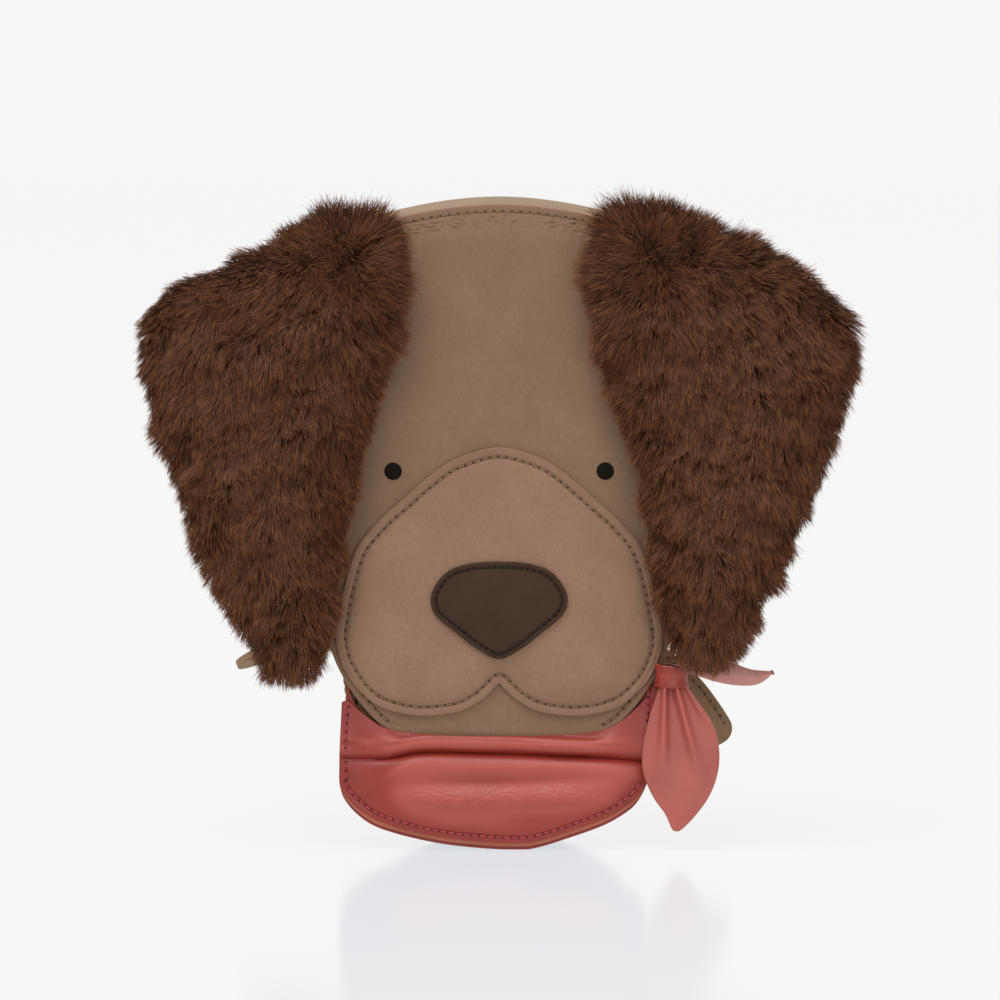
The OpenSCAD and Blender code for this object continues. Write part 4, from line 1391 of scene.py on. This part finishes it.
def make_tail():
    top = resample(spline([(59, 60.6), (64, 62.6), (70, 63.2), (76.8, 62.3), (83.4, 60.1),
                           (90.3, 59.6)], 16), 120)
    low = resample(spline([(59, 57.6), (62.7, 58.6), (71, 56.1), (77.7, 54.8), (84.3, 54.8),
                           (88.2, 56.8), (90.4, 59.2)], 16), 120)
    y = np.interp(np.linspace(0, 1, 120), [0, 0.15, 0.5, 0.8, 1],
                  [-26.6, -25.6, -24.0, -23.6, -24.6])
    v = edged(6, 0.5)
    grid = between(at_depth(top, y), at_depth(low, y - 0.9), v)
    grid[..., 1] -= 0.9 * np.sin(math.pi * v)[:, None]
    grid = grid[:, ::-1]
    # An even share of the lighter highlight red over the whole tail.
    obj = slab("scarf_tail_leather", grid, SCARF_LEATHER,
               values={"painted_highlight": np.full(grid.shape[:2], 0.15)})
    finish_piece(obj, "pouch", FADED_LEATHER, ["scarf_tail"])


# ---- Body of the bag --------------------------------------------------------------------

FLAP_WALL = [(71.9, 146), (71.9, 154), (71.9, 168), (65, 189), on_crown(48), on_crown(26)]
FLAP_WALL = spline(FLAP_WALL + [on_crown(0)] + [(-x, z) for x, z in FLAP_WALL[::-1]], 24)
WALL_HALF = [(9, 0.3), (24, 3.8), (38, 12.5), (46, 27), (49, 42), (51.5, 58), (55.5, 76),
             (61, 98), (66, 124), (69, 156)]
WALL_BACK = [(-x, z) for x, z in WALL_HALF[::-1]] + WALL_HALF
WALL_FRONT = [(-69, 156), (-66, 124), (-61, 98), (-55.5, 76), (-51.5, 58), (-50, 42),
              (-50.5, 27), (-43, 13), (-22, 4.6), (6, 1.2), (27, 7), (42, 14), (49, 27),
              (49, 42), (51, 58), (55.5, 76), (61, 98), (66, 124), (69, 156)]
BACK = [on_crown(0), on_crown(26), on_crown(48), (64, 189.5), (70.5, 168), (70, 145),
        (66.5, 120), (61, 96), (55.5, 76), (51.5, 58), (49, 42), (46, 27), (38, 12.5),
        (24, 3.8), (9, 0.3), (0, 0.1)]
LEATHER = 2.0
BODY_INSET = 3.2
CROWN_DOME = 2.5
body_waves = Waves(91, 34)


def depth_grid(paths, depths):
    """A grid that runs along XZ paths, one for each depth in Y."""
    return np.stack([at_depth(p, y) for p, y in zip(paths, depths)])


def wall_path(points, least, count):
    """A curve through points of the wall, kept above a height."""
    return resample(np.maximum(spline(points, 12), [-math.inf, least]), count)


def gusset_paths(least, count, ys):
    """The wall's outline at each depth: the front one turns into the back one."""
    front, back = wall_path(WALL_FRONT, least, count), wall_path(WALL_BACK, least, count)
    start = front_of("gusset")
    return [front * (1 - k) + back * k for k in smooth_step(ys, start, start + 20)]


def make_crown():
    back = back_of("flap_crown")
    start = front_of("face_panel") + 5.9
    v = edged(back - start, 1.2)
    path = resample(FLAP_WALL, 620)
    bent = smooth_step(path[:, 1], 176, 197)
    rows = []
    for q in v:
        y = (front_of("flap_crown") + 0.2) * (1 - q) + back * q
        dome = CROWN_DOME * math.sin(math.pi * min(q * 1.06, 1)) ** 0.6
        rise = dome * smooth_step(path[:, 1], 168, 206)
        lower = 0.7 * (1 - q) ** 3 * bent
        rows.append(np.stack([path[:, 0], y + bent * (start - front_of("flap_crown")) * (1 - q),
                              path[:, 1] + rise - lower], 1))
    grid = np.stack(rows)[:, ::-1]
    crown = slab("flap_crown_leather", grid, LEATHER)
    finish_piece(crown, "flap", CROWN_SUEDE, ["flap_crown"])
    rows = [seam(grid, 2.6, PITCH, last=True)] + edge_seams(grid, 2.6, PITCH, columns=True)
    stitches("crown_stitches", rows, "flap", DARK_THREAD)


def make_pouch():
    start, deep = front_of("gusset"), back_of("gusset") - front_of("gusset")
    ys = start + edged(deep, 1.6) * deep
    grid = depth_grid(gusset_paths(0.05, 560, ys), ys)[:, ::-1]
    body = slab("gusset_leather", grid, LEATHER)
    finish_piece(body, "pouch", BODY_LEATHER, ["gusset"])
    stitches("gusset_stitches", edge_seams(grid, 2.4, PITCH), "pouch",
             DARK_THREAD)
    dip = spline([(69, 156), (34, 150), (0, 147), (-34, 150), (-69, 156)], 20)[1:-1]
    shape = Outline(np.vstack([wall_path(WALL_FRONT, 0.05, 560), dip]), 700)
    top = front_of("front_panel")

    def bulge(x, z, d, s):
        return top + 0.35 * np.exp(-d / 3)

    panel = patch("front_panel_leather", shape, bulge, flat_at(top + LEATHER), centre=(0, 80),
                  inner_rings=24)
    finish_piece(panel, "pouch", BODY_LEATHER, ["front_panel"])
    stitches("front_panel_stitches", [front_rows(shape, bulge, BODY_INSET, PITCH)], "pouch",
             DARK_THREAD)


def back_relief(x, z, d, s):
    swell = 1.3 * (1 - np.exp(-((d / 22) ** 2))) + 0.3 * body_waves(x, z) * smooth_step(d, 3, 14)
    return swell - groove(d, BODY_INSET) - holes(d, s, BODY_INSET, PITCH)


def make_back():
    outline = np.maximum(spline(mirrored(BACK), closed=True), [-math.inf, 0.05])
    outer = back_of("back_panel")

    def skin(x, z, d, s):
        return outer - 1.3 + back_relief(x, z, d, s)

    obj, shape = back_piece("back_panel_leather", outline, skin, 0.9, count=900,
                            centre=(0, 108), inner_rings=60)
    finish_piece(obj, "pouch", BODY_LEATHER, ["back_panel"])
    stitches("back_panel_stitches", [back_rows(shape, skin, BODY_INSET, PITCH)], "pouch",
             DARK_THREAD)


def make_linings():
    lining = Outline(FACE.inset(3.0), 500)
    inner = patch("flap_lining_cloth", lining, behind(face_back_at, 0.02),
                  behind(face_back_at, 0.75), centre=FACE_CENTRE, inner_rings=40)
    finish_piece(inner, "flap", LINING, ["flap_lining"])
    cut_from(lining.points, "face_panel_leather")
    start, deep = front_of("gusset"), back_of("gusset") - front_of("gusset")
    ys = start + 0.9 + edged(deep, 3) * (deep - 1.8)
    paths = [moved_in(p, LEATHER + 0.8) for p in gusset_paths(2.6, 300, ys)]
    grid = depth_grid([np.minimum(p, [math.inf, 150]) for p in paths], ys)
    wall = slab("lining_wall", grid, 0.6)
    finish_piece(wall, "pouch", LINING, ["pouch_lining"])
    float(lengths(grid[0])[-1]) * MM
    for name, panel, w, y in (
            ("lining_front", "front_panel_leather", WALL_FRONT, start + 0.1),
            ("lining_back", "back_panel_leather", WALL_BACK, back_of("gusset") - 0.9)):
        path = moved_in(wall_path(w, 0.1, 300), LEATHER + 0.6)
        shape = Outline(np.minimum(path, [math.inf, 146]), 400)
        cloth = patch(name, shape, flat_at(y), flat_at(y + 0.7), centre=(0, 78), inner_rings=16)
        finish_piece(cloth, "pouch", LINING)
        cut_from(shape.points, panel)


# ---- Straps, buckles, snap, ear backs ---------------------------------------------------

POUCH_BACK = 20.4
STRAP_WIDTH, STRAP_THICK = 12.0, 2.4
SEWN = POUCH_BACK + STRAP_THICK / 2 + 0.1
STRAP_INSET, PATCH_INSET, EAR_INSET = 2.1, 2.4, 3.0
BAR_RADIUS = 1.1
PRONG_RADIUS = 0.9
EYE_RADIUS, EYE_WIRE = 1.9, 0.72
KEEPER_THICK, KEEPER_WIDTH, KEEPER_DROP = 1.2, 5.0, 8.5
SLEEVE = BAR_RADIUS + 2
OVER_BAR = SLEEVE + STRAP_THICK / 2 + 0.5
UNDER_BAR = BAR_RADIUS + STRAP_THICK / 2 + 0.2
BUCKLE_HEIGHT = 13.0
BUCKLES = {"left": (-48.0, 42.0, 88.0), "right": (48.0, 42.0, 74.0)}
STRAP_ENDS = {
    "right": [(54, 43, 55.5, 1, 0, 0.6), (63.5, 38, 47.5, 1, 0, 0.7), (70.5, 35, 38.5, 1, 0, 0.7),
              (76, 34, 29.5, 1, 0, 0.6)],
    "left": [(-56, 44, 69.5, 1, 0.3, -1), (-67, 41, 64.5, 0.3, 0.8, -0.8),
             (-79, 37, 60, 0.2, 1, -0.4), (-89, 35, 56, 0.2, 1, -0.2)]}
LOOP = [(0, 21.4, 190, 1, 0, 0), (0, 21.4, 198, 1, 0, 0), (0, 21.55, 204, 1, 0, 0),
        (0, 24.2, 209.6, 1, 0, 0), (0, 28.8, 209.8, 1, 0, 0), (0, 31.0, 205, 1, 0, 0),
        (0, 28.4, 198.4, 1, 0, 0), (0, 26.2, 192, 1, 0, 0), (0, 25.8, 184, 1, 0, 0)]


def strap_route(s, b, end):
    """A shoulder strap from the anchor patch over a buckle's bar to its loose end. s is its
    side, b the buckle's place. Each point holds x, y, z and the way across the strap."""
    x, y, z = b
    return [(s * 13, SEWN, 202, 1, 0, 0), (s * 13, SEWN, 194, 1, 0, 0),
            (s * 13, SEWN, 188, 1, 0, 0), (s * 13, SEWN, 182, 1, 0, 0),
            (s * 13.3, SEWN + 0.6, 177, 1, 0, 0), (s * 16, 28.4, 165, 1, 0, 0.1 * s),
            (s * 25, 39, 142, 1, 0, 0.3 * s), (s * 37, 43.5, 115, 1, 0, 0.3 * s),
            (x - s * 1.5, y - UNDER_BAR + 0.6, z + BUCKLE_HEIGHT + 7, 1, 0, 0.1 * s),
            (x, y - UNDER_BAR, z + BUCKLE_HEIGHT, 1, 0, 0), (x, y + OVER_BAR, z, 1, 0, 0),
            (x, y + OVER_BAR - 0.5, z - 7, 1, 0, 0),
            (x + s * 0.3, y + OVER_BAR - 0.9, z - 13.5, 1, 0, 0.05 * s)] + end


def tab_route(s, b):
    """A strap tab from the back panel up to a buckle, as strap_route gives it."""
    x, y, z = b
    return [(s * 33, SEWN, 14, 1, 0, 0), (s * 33.6, SEWN, 20, 1, 0, 0),
            (s * 34.4, SEWN, 26, 1, 0, 0), (s * 35.2, SEWN + 0.6, 31, 1, 0, 0),
            (s * 39.5, 28, (z + 31) / 2 - 4, 1, 0, 0.1 * s),
            (x - s * 0.5, y - 3, z - 17, 1, 0, 0), (x, y - 0.6, z - 10, 1, 0, 0),
            (x, y, z - SLEEVE + 0.4, 1, 0, 0)]


def ribbon(route, width, thick, step=1.1, ends=(0, 0), flip=False):
    """The outer face of a strap, as a grid whose rows run along it. ends are the radii that its
    two ends are rounded by."""
    line = spline(np.asarray(route, float), 24)
    total = lengths(line[:, :3])[-1]
    at = edged(total, step, (0.1, 0.3, 0.7, 1.2, 2, 3)) * total
    line = np.stack([np.interp(at, lengths(line[:, :3]), line[:, k]) for k in range(6)], 1)
    tangent = unit(np.gradient(line[:, :3], at, axis=0))
    way = unit(line[:, 3:] - tangent * (line[:, 3:] * tangent).sum(1)[:, None])
    if (np.cross(tangent, way)[:, 1].mean() < 0) != flip:
        way = -way
    out = np.cross(tangent, way)
    half = np.full(len(at), width / 2)
    for d, r in ((at, ends[0]), (total - at, ends[1])):
        if r:
            q = np.clip(1 - d / r, 0, 1)
            half = np.minimum(half, width / 2 - r + r * np.sqrt(np.maximum(1 - q * q, 0.002)))
    u = 2 * edged(width, width / 13, (0.15, 0.4, 0.9)) - 1
    outer = (line[:, None, :3] + way[:, None] * (u[None] * half[:, None])[..., None]
             + out[:, None] * thick / 2)
    if (grid_normals(outer) * out[:, None]).sum() < 0:
        outer = outer[:, ::-1]
    return outer


def strap_rows(grid, thick, both=True):
    """Edge stitches on a strap's outer face, and on its inner face as well."""
    sides = [grid]
    if both:
        sides.append((grid - grid_normals(grid) * thick)[:, ::-1])
    return [row for side in sides
            for row in edge_seams(side, STRAP_INSET, PITCH, columns=True, trim=4)]


def joined(objs):
    """Several new meshes as one object, the first."""
    with bpy.context.temp_override(active_object=objs[0], object=objs[0], selected_objects=objs,
                                   selected_editable_objects=objs):
        bpy.ops.object.join()
    return objs[0]


def ring_grid(centre, radius, low, high):
    """A sleeve's outer face round an axis along X, as a wrapped grid."""
    angle = full_turn(48)
    x = low + (high - low) * edged(high - low, 0.8, (0.12, 0.4))
    grid = np.stack(np.broadcast_arrays(
        centre[0] + x[:, None], centre[1] + radius * np.cos(angle)[None],
        centre[2] + radius * np.sin(angle)[None]), -1)
    out = grid_normals(grid, True)
    away = grid - np.array(centre) - np.array([1.0, 0, 0]) * x[:, None, None]
    return grid if (out * away).sum() > 0 else grid[:, ::-1]


def swept(points, normal, radius, sides=14):
    """A closed wire along a flat closed path; normal is the axis of its plane."""
    t = unit(np.roll(points, -1, 0) - np.roll(points, 1, 0))
    a = np.broadcast_to(np.asarray(normal, float), t.shape)
    b = np.cross(t, a)
    angle = full_turn(sides)
    verts = points[:, None] + radius * (np.cos(angle)[None, :, None] * a[:, None]
                                        + np.sin(angle)[None, :, None] * b[:, None])
    n = len(points)
    faces = np.vstack([ring_faces(k * sides, (k + 1) % n * sides, sides) for k in range(n)])
    return verts.reshape(-1, 3), faces


def brass(name, colour, rough):
    """Plated metal with fine scratches and darker spots."""
    look = Look(name, roughness=rough, metallic=1.0)
    cloud = look.noise(5, detail=4)
    look.set("Base Color", look.mix(look.level(cloud, 0.35, 0.7), colour,
                                    scaled(colour, 0.6)))
    scratch = look.noise(0.7, detail=3, place=look.stretched(1, 1, 6))
    look.set("Roughness", look.level(scratch, 0.3, 0.7, rough - 0.08, rough + 0.14))
    look.bump(look.noise(0.6, detail=2), 0.02)
    return look.material


BRASS = brass("buckle_brass", srgb(206, 180, 120), 0.3)
STEEL = brass("snap_steel", srgb(196, 192, 184), 0.28)


def rounded_loop(half, low, high, radius):
    """A closed rectangle with round corners, centred on x = 0 and anticlockwise."""
    count = 10
    corners = [(half - radius, low + radius, -90), (half - radius, high - radius, 0),
               (-half + radius, high - radius, 90), (-half + radius, low + radius, 180)]
    points = []
    for x, z, start in corners:
        for k in range(count + 1):
            a = math.radians(start + 90 * k / count)
            points.append((x + radius * math.cos(a), z + radius * math.sin(a)))
    return np.array(points)


def make_buckle(side):
    x, y, z = BUCKLES[side]
    loop = rounded_loop(STRAP_WIDTH / 2 + 1 + BAR_RADIUS, 0, BUCKLE_HEIGHT, 2.2)
    loop = resample(loop, 150, closed=True)
    points = np.stack([x + loop[:, 0], np.full(len(loop), y), z + loop[:, 1]], 1)
    wire = add_mesh("buckle_frame_" + side, *swept(points, (0, 1, 0), BAR_RADIUS))
    finish_piece(outward(wire), "pouch", BRASS, ["buckle_" + side])
    lean = math.atan((BAR_RADIUS + PRONG_RADIUS + 0.2) / BUCKLE_HEIGHT)
    t = np.linspace(0, 1, 40)
    reach = 2.0 + (BUCKLE_HEIGHT + 1.2) * t
    stem = np.stack([np.full(40, x), y + reach * math.sin(lean) + 0.25 * np.sin(math.pi * t),
                     z + reach * math.cos(lean)], 1)
    turn = full_turn(60)
    eye = np.stack([np.full(60, x), y + EYE_RADIUS * np.sin(turn),
                    z + EYE_RADIUS * np.cos(turn)], 1)
    hoop = add_mesh("prong_loop", *swept(eye, (1, 0, 0), EYE_WIRE, 12))
    radius = PRONG_RADIUS * np.interp(t, [0, 0.75, 1], [1, 1, 0.62])
    radius[-3:] *= [0.96, 0.82, 0.45]
    v, f = tube(stem, radius, 14)
    shaft = outward(add_mesh("prong_stem_" + side, v, f))
    shaft = joined([shaft, outward(hoop)])
    finish_piece(shaft, "prong_" + side, BRASS, ["prong_" + side])


def make_strap(side):
    s = 1 if side == "right" else -1
    b = BUCKLES[side]
    grid = ribbon(strap_route(s, b, STRAP_ENDS[side]), STRAP_WIDTH, STRAP_THICK,
                  ends=(1.5, 5.5))
    strap = slab(f"strap_leather_{side}", grid, STRAP_THICK, bevel=0.4)
    finish_piece(strap, "pouch", STRAP_LEATHER, ["strap_" + side])
    rows = strap_rows(grid, STRAP_THICK)
    grid = ribbon(tab_route(s, b), STRAP_WIDTH, STRAP_THICK, ends=(2.5, 0))
    rows += strap_rows(grid, STRAP_THICK, both=False)
    tab = slab("tab", grid, STRAP_THICK, bevel=0.35)
    sleeves = [slab("tab_loop", ring_grid(b, SLEEVE, low, high), 1.95, wrap=True)
               for low, high in ((-STRAP_WIDTH / 2, -1.8), (1.8, STRAP_WIDTH / 2))]
    tab.name = f"strap_tab_leather_{side}"
    finish_piece(joined([tab] + sleeves), "pouch", STRAP_LEATHER,
                 ["strap_tab_" + side])
    stitches(f"strap_stitches_{side}", rows, "pouch", TAN_THREAD)
    low = b[1] - 2 - STRAP_THICK / 2 - KEEPER_THICK
    high = b[1] + OVER_BAR + 0.3 + STRAP_THICK / 2 + KEEPER_THICK
    loop = rounded_loop(STRAP_WIDTH / 2 + 2.8, low, high, 1.6)
    loop = resample(loop, 110, closed=True)
    way = edged(KEEPER_WIDTH, 0.7, (0.12, 0.4))
    z = b[2] - KEEPER_DROP - KEEPER_WIDTH / 2 + KEEPER_WIDTH * way
    grid = np.stack(np.broadcast_arrays(b[0] + loop[None, :, 0], loop[None, :, 1], z[:, None]), -1)
    out = grid_normals(grid, True)
    away = grid - np.array([b[0], (low + high) / 2, 0])
    if (out[..., :2] * away[..., :2]).sum() < 0:
        grid = grid[:, ::-1]
    keeper = slab(f"keeper_leather_{side}", grid, KEEPER_THICK, wrap=True)
    finish_piece(keeper, "pouch", STRAP_LEATHER, ["keeper_" + side])


def turned(obj):
    """Half a turn about Z, so that a piece's worked face looks back."""
    v = np.empty(len(obj.data.vertices) * 3, np.float32)
    obj.data.vertices.foreach_get("co", v)
    v = v.reshape(-1, 3) * np.array([-1, -1, 1], np.float32)
    obj.data.vertices.foreach_set("co", v.ravel())
    obj.data.update()
    return obj


def back_piece(name, outline, skin, thick, count=500, **options):
    """A patch whose worked face looks back. outline is seen from the front; skin gives Y."""
    shape = Outline(np.asarray(outline) * [-1, 1], count)
    obj = patch(name, shape, lambda x, z, d, s: -skin(-x, z, d, s),
                lambda x, z, d, s: -(skin(-x, z, d, s) - thick), **options)
    return turned(obj), shape


def back_rows(shape, skin, inset, pitch):
    """A closed stitch row on a worked face that looks back, set in from its outline."""
    path = resample(shape.inset(inset), int(shape.length * 1.2), closed=True)
    y = skin(-path[:, 0], path[:, 1], *shape.nearest(path[:, 0], path[:, 1]))
    return at_depth(path * [-1, 1], y + ROW_LIFT), np.tile(REAR, (len(path), 1)), pitch, True


def make_back_patch():
    y = back_of("anchor_patch")
    square = rounded_loop(23, 182, 204, 4)

    def skin(x, z, d, s):
        return y - 0.15 - groove(d, PATCH_INSET, 0.3) - holes(d, s, PATCH_INSET, PITCH, 0.3)

    obj, shape = back_piece("anchor_patch_leather", square, skin, 1.8, count=300,
                            inner_rings=14)
    finish_piece(obj, "pouch", STRAP_LEATHER, ["anchor_patch"])
    rows = [back_rows(shape, skin, PATCH_INSET, PITCH)]
    for x in (-13, 13):
        box = rounded_loop(4.2, 186, 200, 0.6)
        path = resample(box + [x, 0], 60, closed=True)
        rows.append((at_depth(path, y), np.tile(REAR, (60, 1)), FINE_PITCH, True))
    stitches("anchor_patch_stitches", rows, "pouch", TAN_THREAD)
    grid = ribbon(LOOP, 9, 1.6, step=0.8, flip=True)
    loop = slab("hang_loop_leather", grid, 1.6)
    finish_piece(loop, "pouch", STRAP_LEATHER, ["hang_loop"])
    rows = edge_seams(grid, 1.4, FINE_PITCH, columns=True, trim=14)
    stitches("hang_loop_stitches", rows, "pouch", DARK_THREAD)


def lathe(name, profile, place, way):
    """A disc turned about the Y axis. profile holds (radius, y) pairs from rim to centre, and way
    is the sign of Y that its worked face looks to."""
    count = 72
    angle = full_turn(count)
    verts, faces = [], []
    for k, (r, y) in enumerate(profile):
        verts.append(np.stack([place[0] + r * np.cos(angle), np.full(count, place[1] + way * y),
                               place[2] + r * np.sin(angle)], 1))
        if k:
            faces.append(ring_faces((k - 1) * count, k * count, count))
    ends = [0, len(profile) - 1]
    hubs = [[place[0], place[1] + way * profile[e][1], place[2]] for e in ends]
    i = np.arange(count)
    base = len(profile) * count
    fans = [np.stack([e * count + i, e * count + (i + 1) % count, np.full(count, base + n)], 1)
            for n, e in enumerate(ends)]
    return outward(add_mesh(name, np.vstack(verts + [np.array(hubs)]),
                            [np.vstack(faces), np.vstack(fans)]))


def make_snap():
    z = CHIN + 10
    low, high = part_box("snap_socket")
    socket = lathe("snap_socket_metal", [
        (0.3, 0.0), (5.6, 0.0), (5.95, 0.1), (6, 0.3), (5.8, 0.5), (4.4, 0.62), (3.9, 0.86),
        (3.3, 0.94), (2.6, 0.86), (2.3, 0.55), (2.2, 0.2), (0.2, 0.18)],
        (0, high.y / MM, z), way=-1)
    finish_piece(socket, "pouch", STEEL, ["snap_socket"])
    low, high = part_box("snap_stud")
    stud = lathe("snap_stud_metal", [
        (0.3, 0.0), (5.6, 0.0), (5.95, 0.08), (6, 0.25), (5.7, 0.42), (3.2, 0.5), (2.2, 0.55),
        (1.9, 0.75), (1.8, 0.9), (1.2, 0.95), (0.2, 0.95)], (0, low.y / MM, z), way=1)
    finish_piece(stud, "flap", STEEL, ["snap_stud"])


def make_ear_backs():
    for side in ("left", "right"):
        s = 1 if side == "right" else -1
        outline = spline(EAR_OUTLINES[side], steps=8, closed=True)
        y = back_of("ear_back_" + side)
        waves, folds = Waves(101 + s, 26), creases(105 + s, 5, (1.4, 1.0))

        def skin(x, z, d, q, y=y, waves=waves, folds=folds):
            belly = 0.5 * np.exp(-d / 5)
            return (y - 0.1 - belly + 0.25 * waves(x, z) * smooth_step(d, 1, 9) * 0.6
                    + 0.2 * folds(x, z) - groove(d, EAR_INSET, 0.3))

        obj, shape = back_piece(f"ear_back_leather_{side}", Outline(outline, 500).inset(0.6),
                                skin, 1.4, centre=(-s * 74, 138), inner_rings=34)
        finish_piece(obj, "ear_" + side, EAR_SUEDE, ["ear_back_" + side])
        stitches(f"ear_back_stitches_{side}", [back_rows(shape, skin, EAR_INSET, PITCH)],
                 "ear_" + side, DARK_THREAD)
        start, end = (36, 208), (68, 191)
        t = np.linspace(0, 1, 60)
        path = np.stack([s * (start[0] + (end[0] - start[0]) * t), np.full(60, -27.1),
                         start[1] + (end[1] - start[1]) * t], 1)
        radius = 1.6 * np.maximum(1 - np.abs(2 * t - 1) ** 5, 0.01) ** 0.5
        v, f = tube(path, radius, 18)
        welt = outward(add_mesh(f"ear_welt_leather_{side}", v, f))
        finish_piece(welt, "flap", EAR_SUEDE, ["ear_welt_" + side])


make_face()
make_eyes()
make_bandana()
make_knot()
make_leaf()
make_tail()
make_crown()
make_pouch()
make_back()
make_linings()
for one_side in ("left", "right"):
    make_buckle(one_side)
    make_strap(one_side)
make_back_patch()
make_snap()
make_ear_backs()
make_ears()
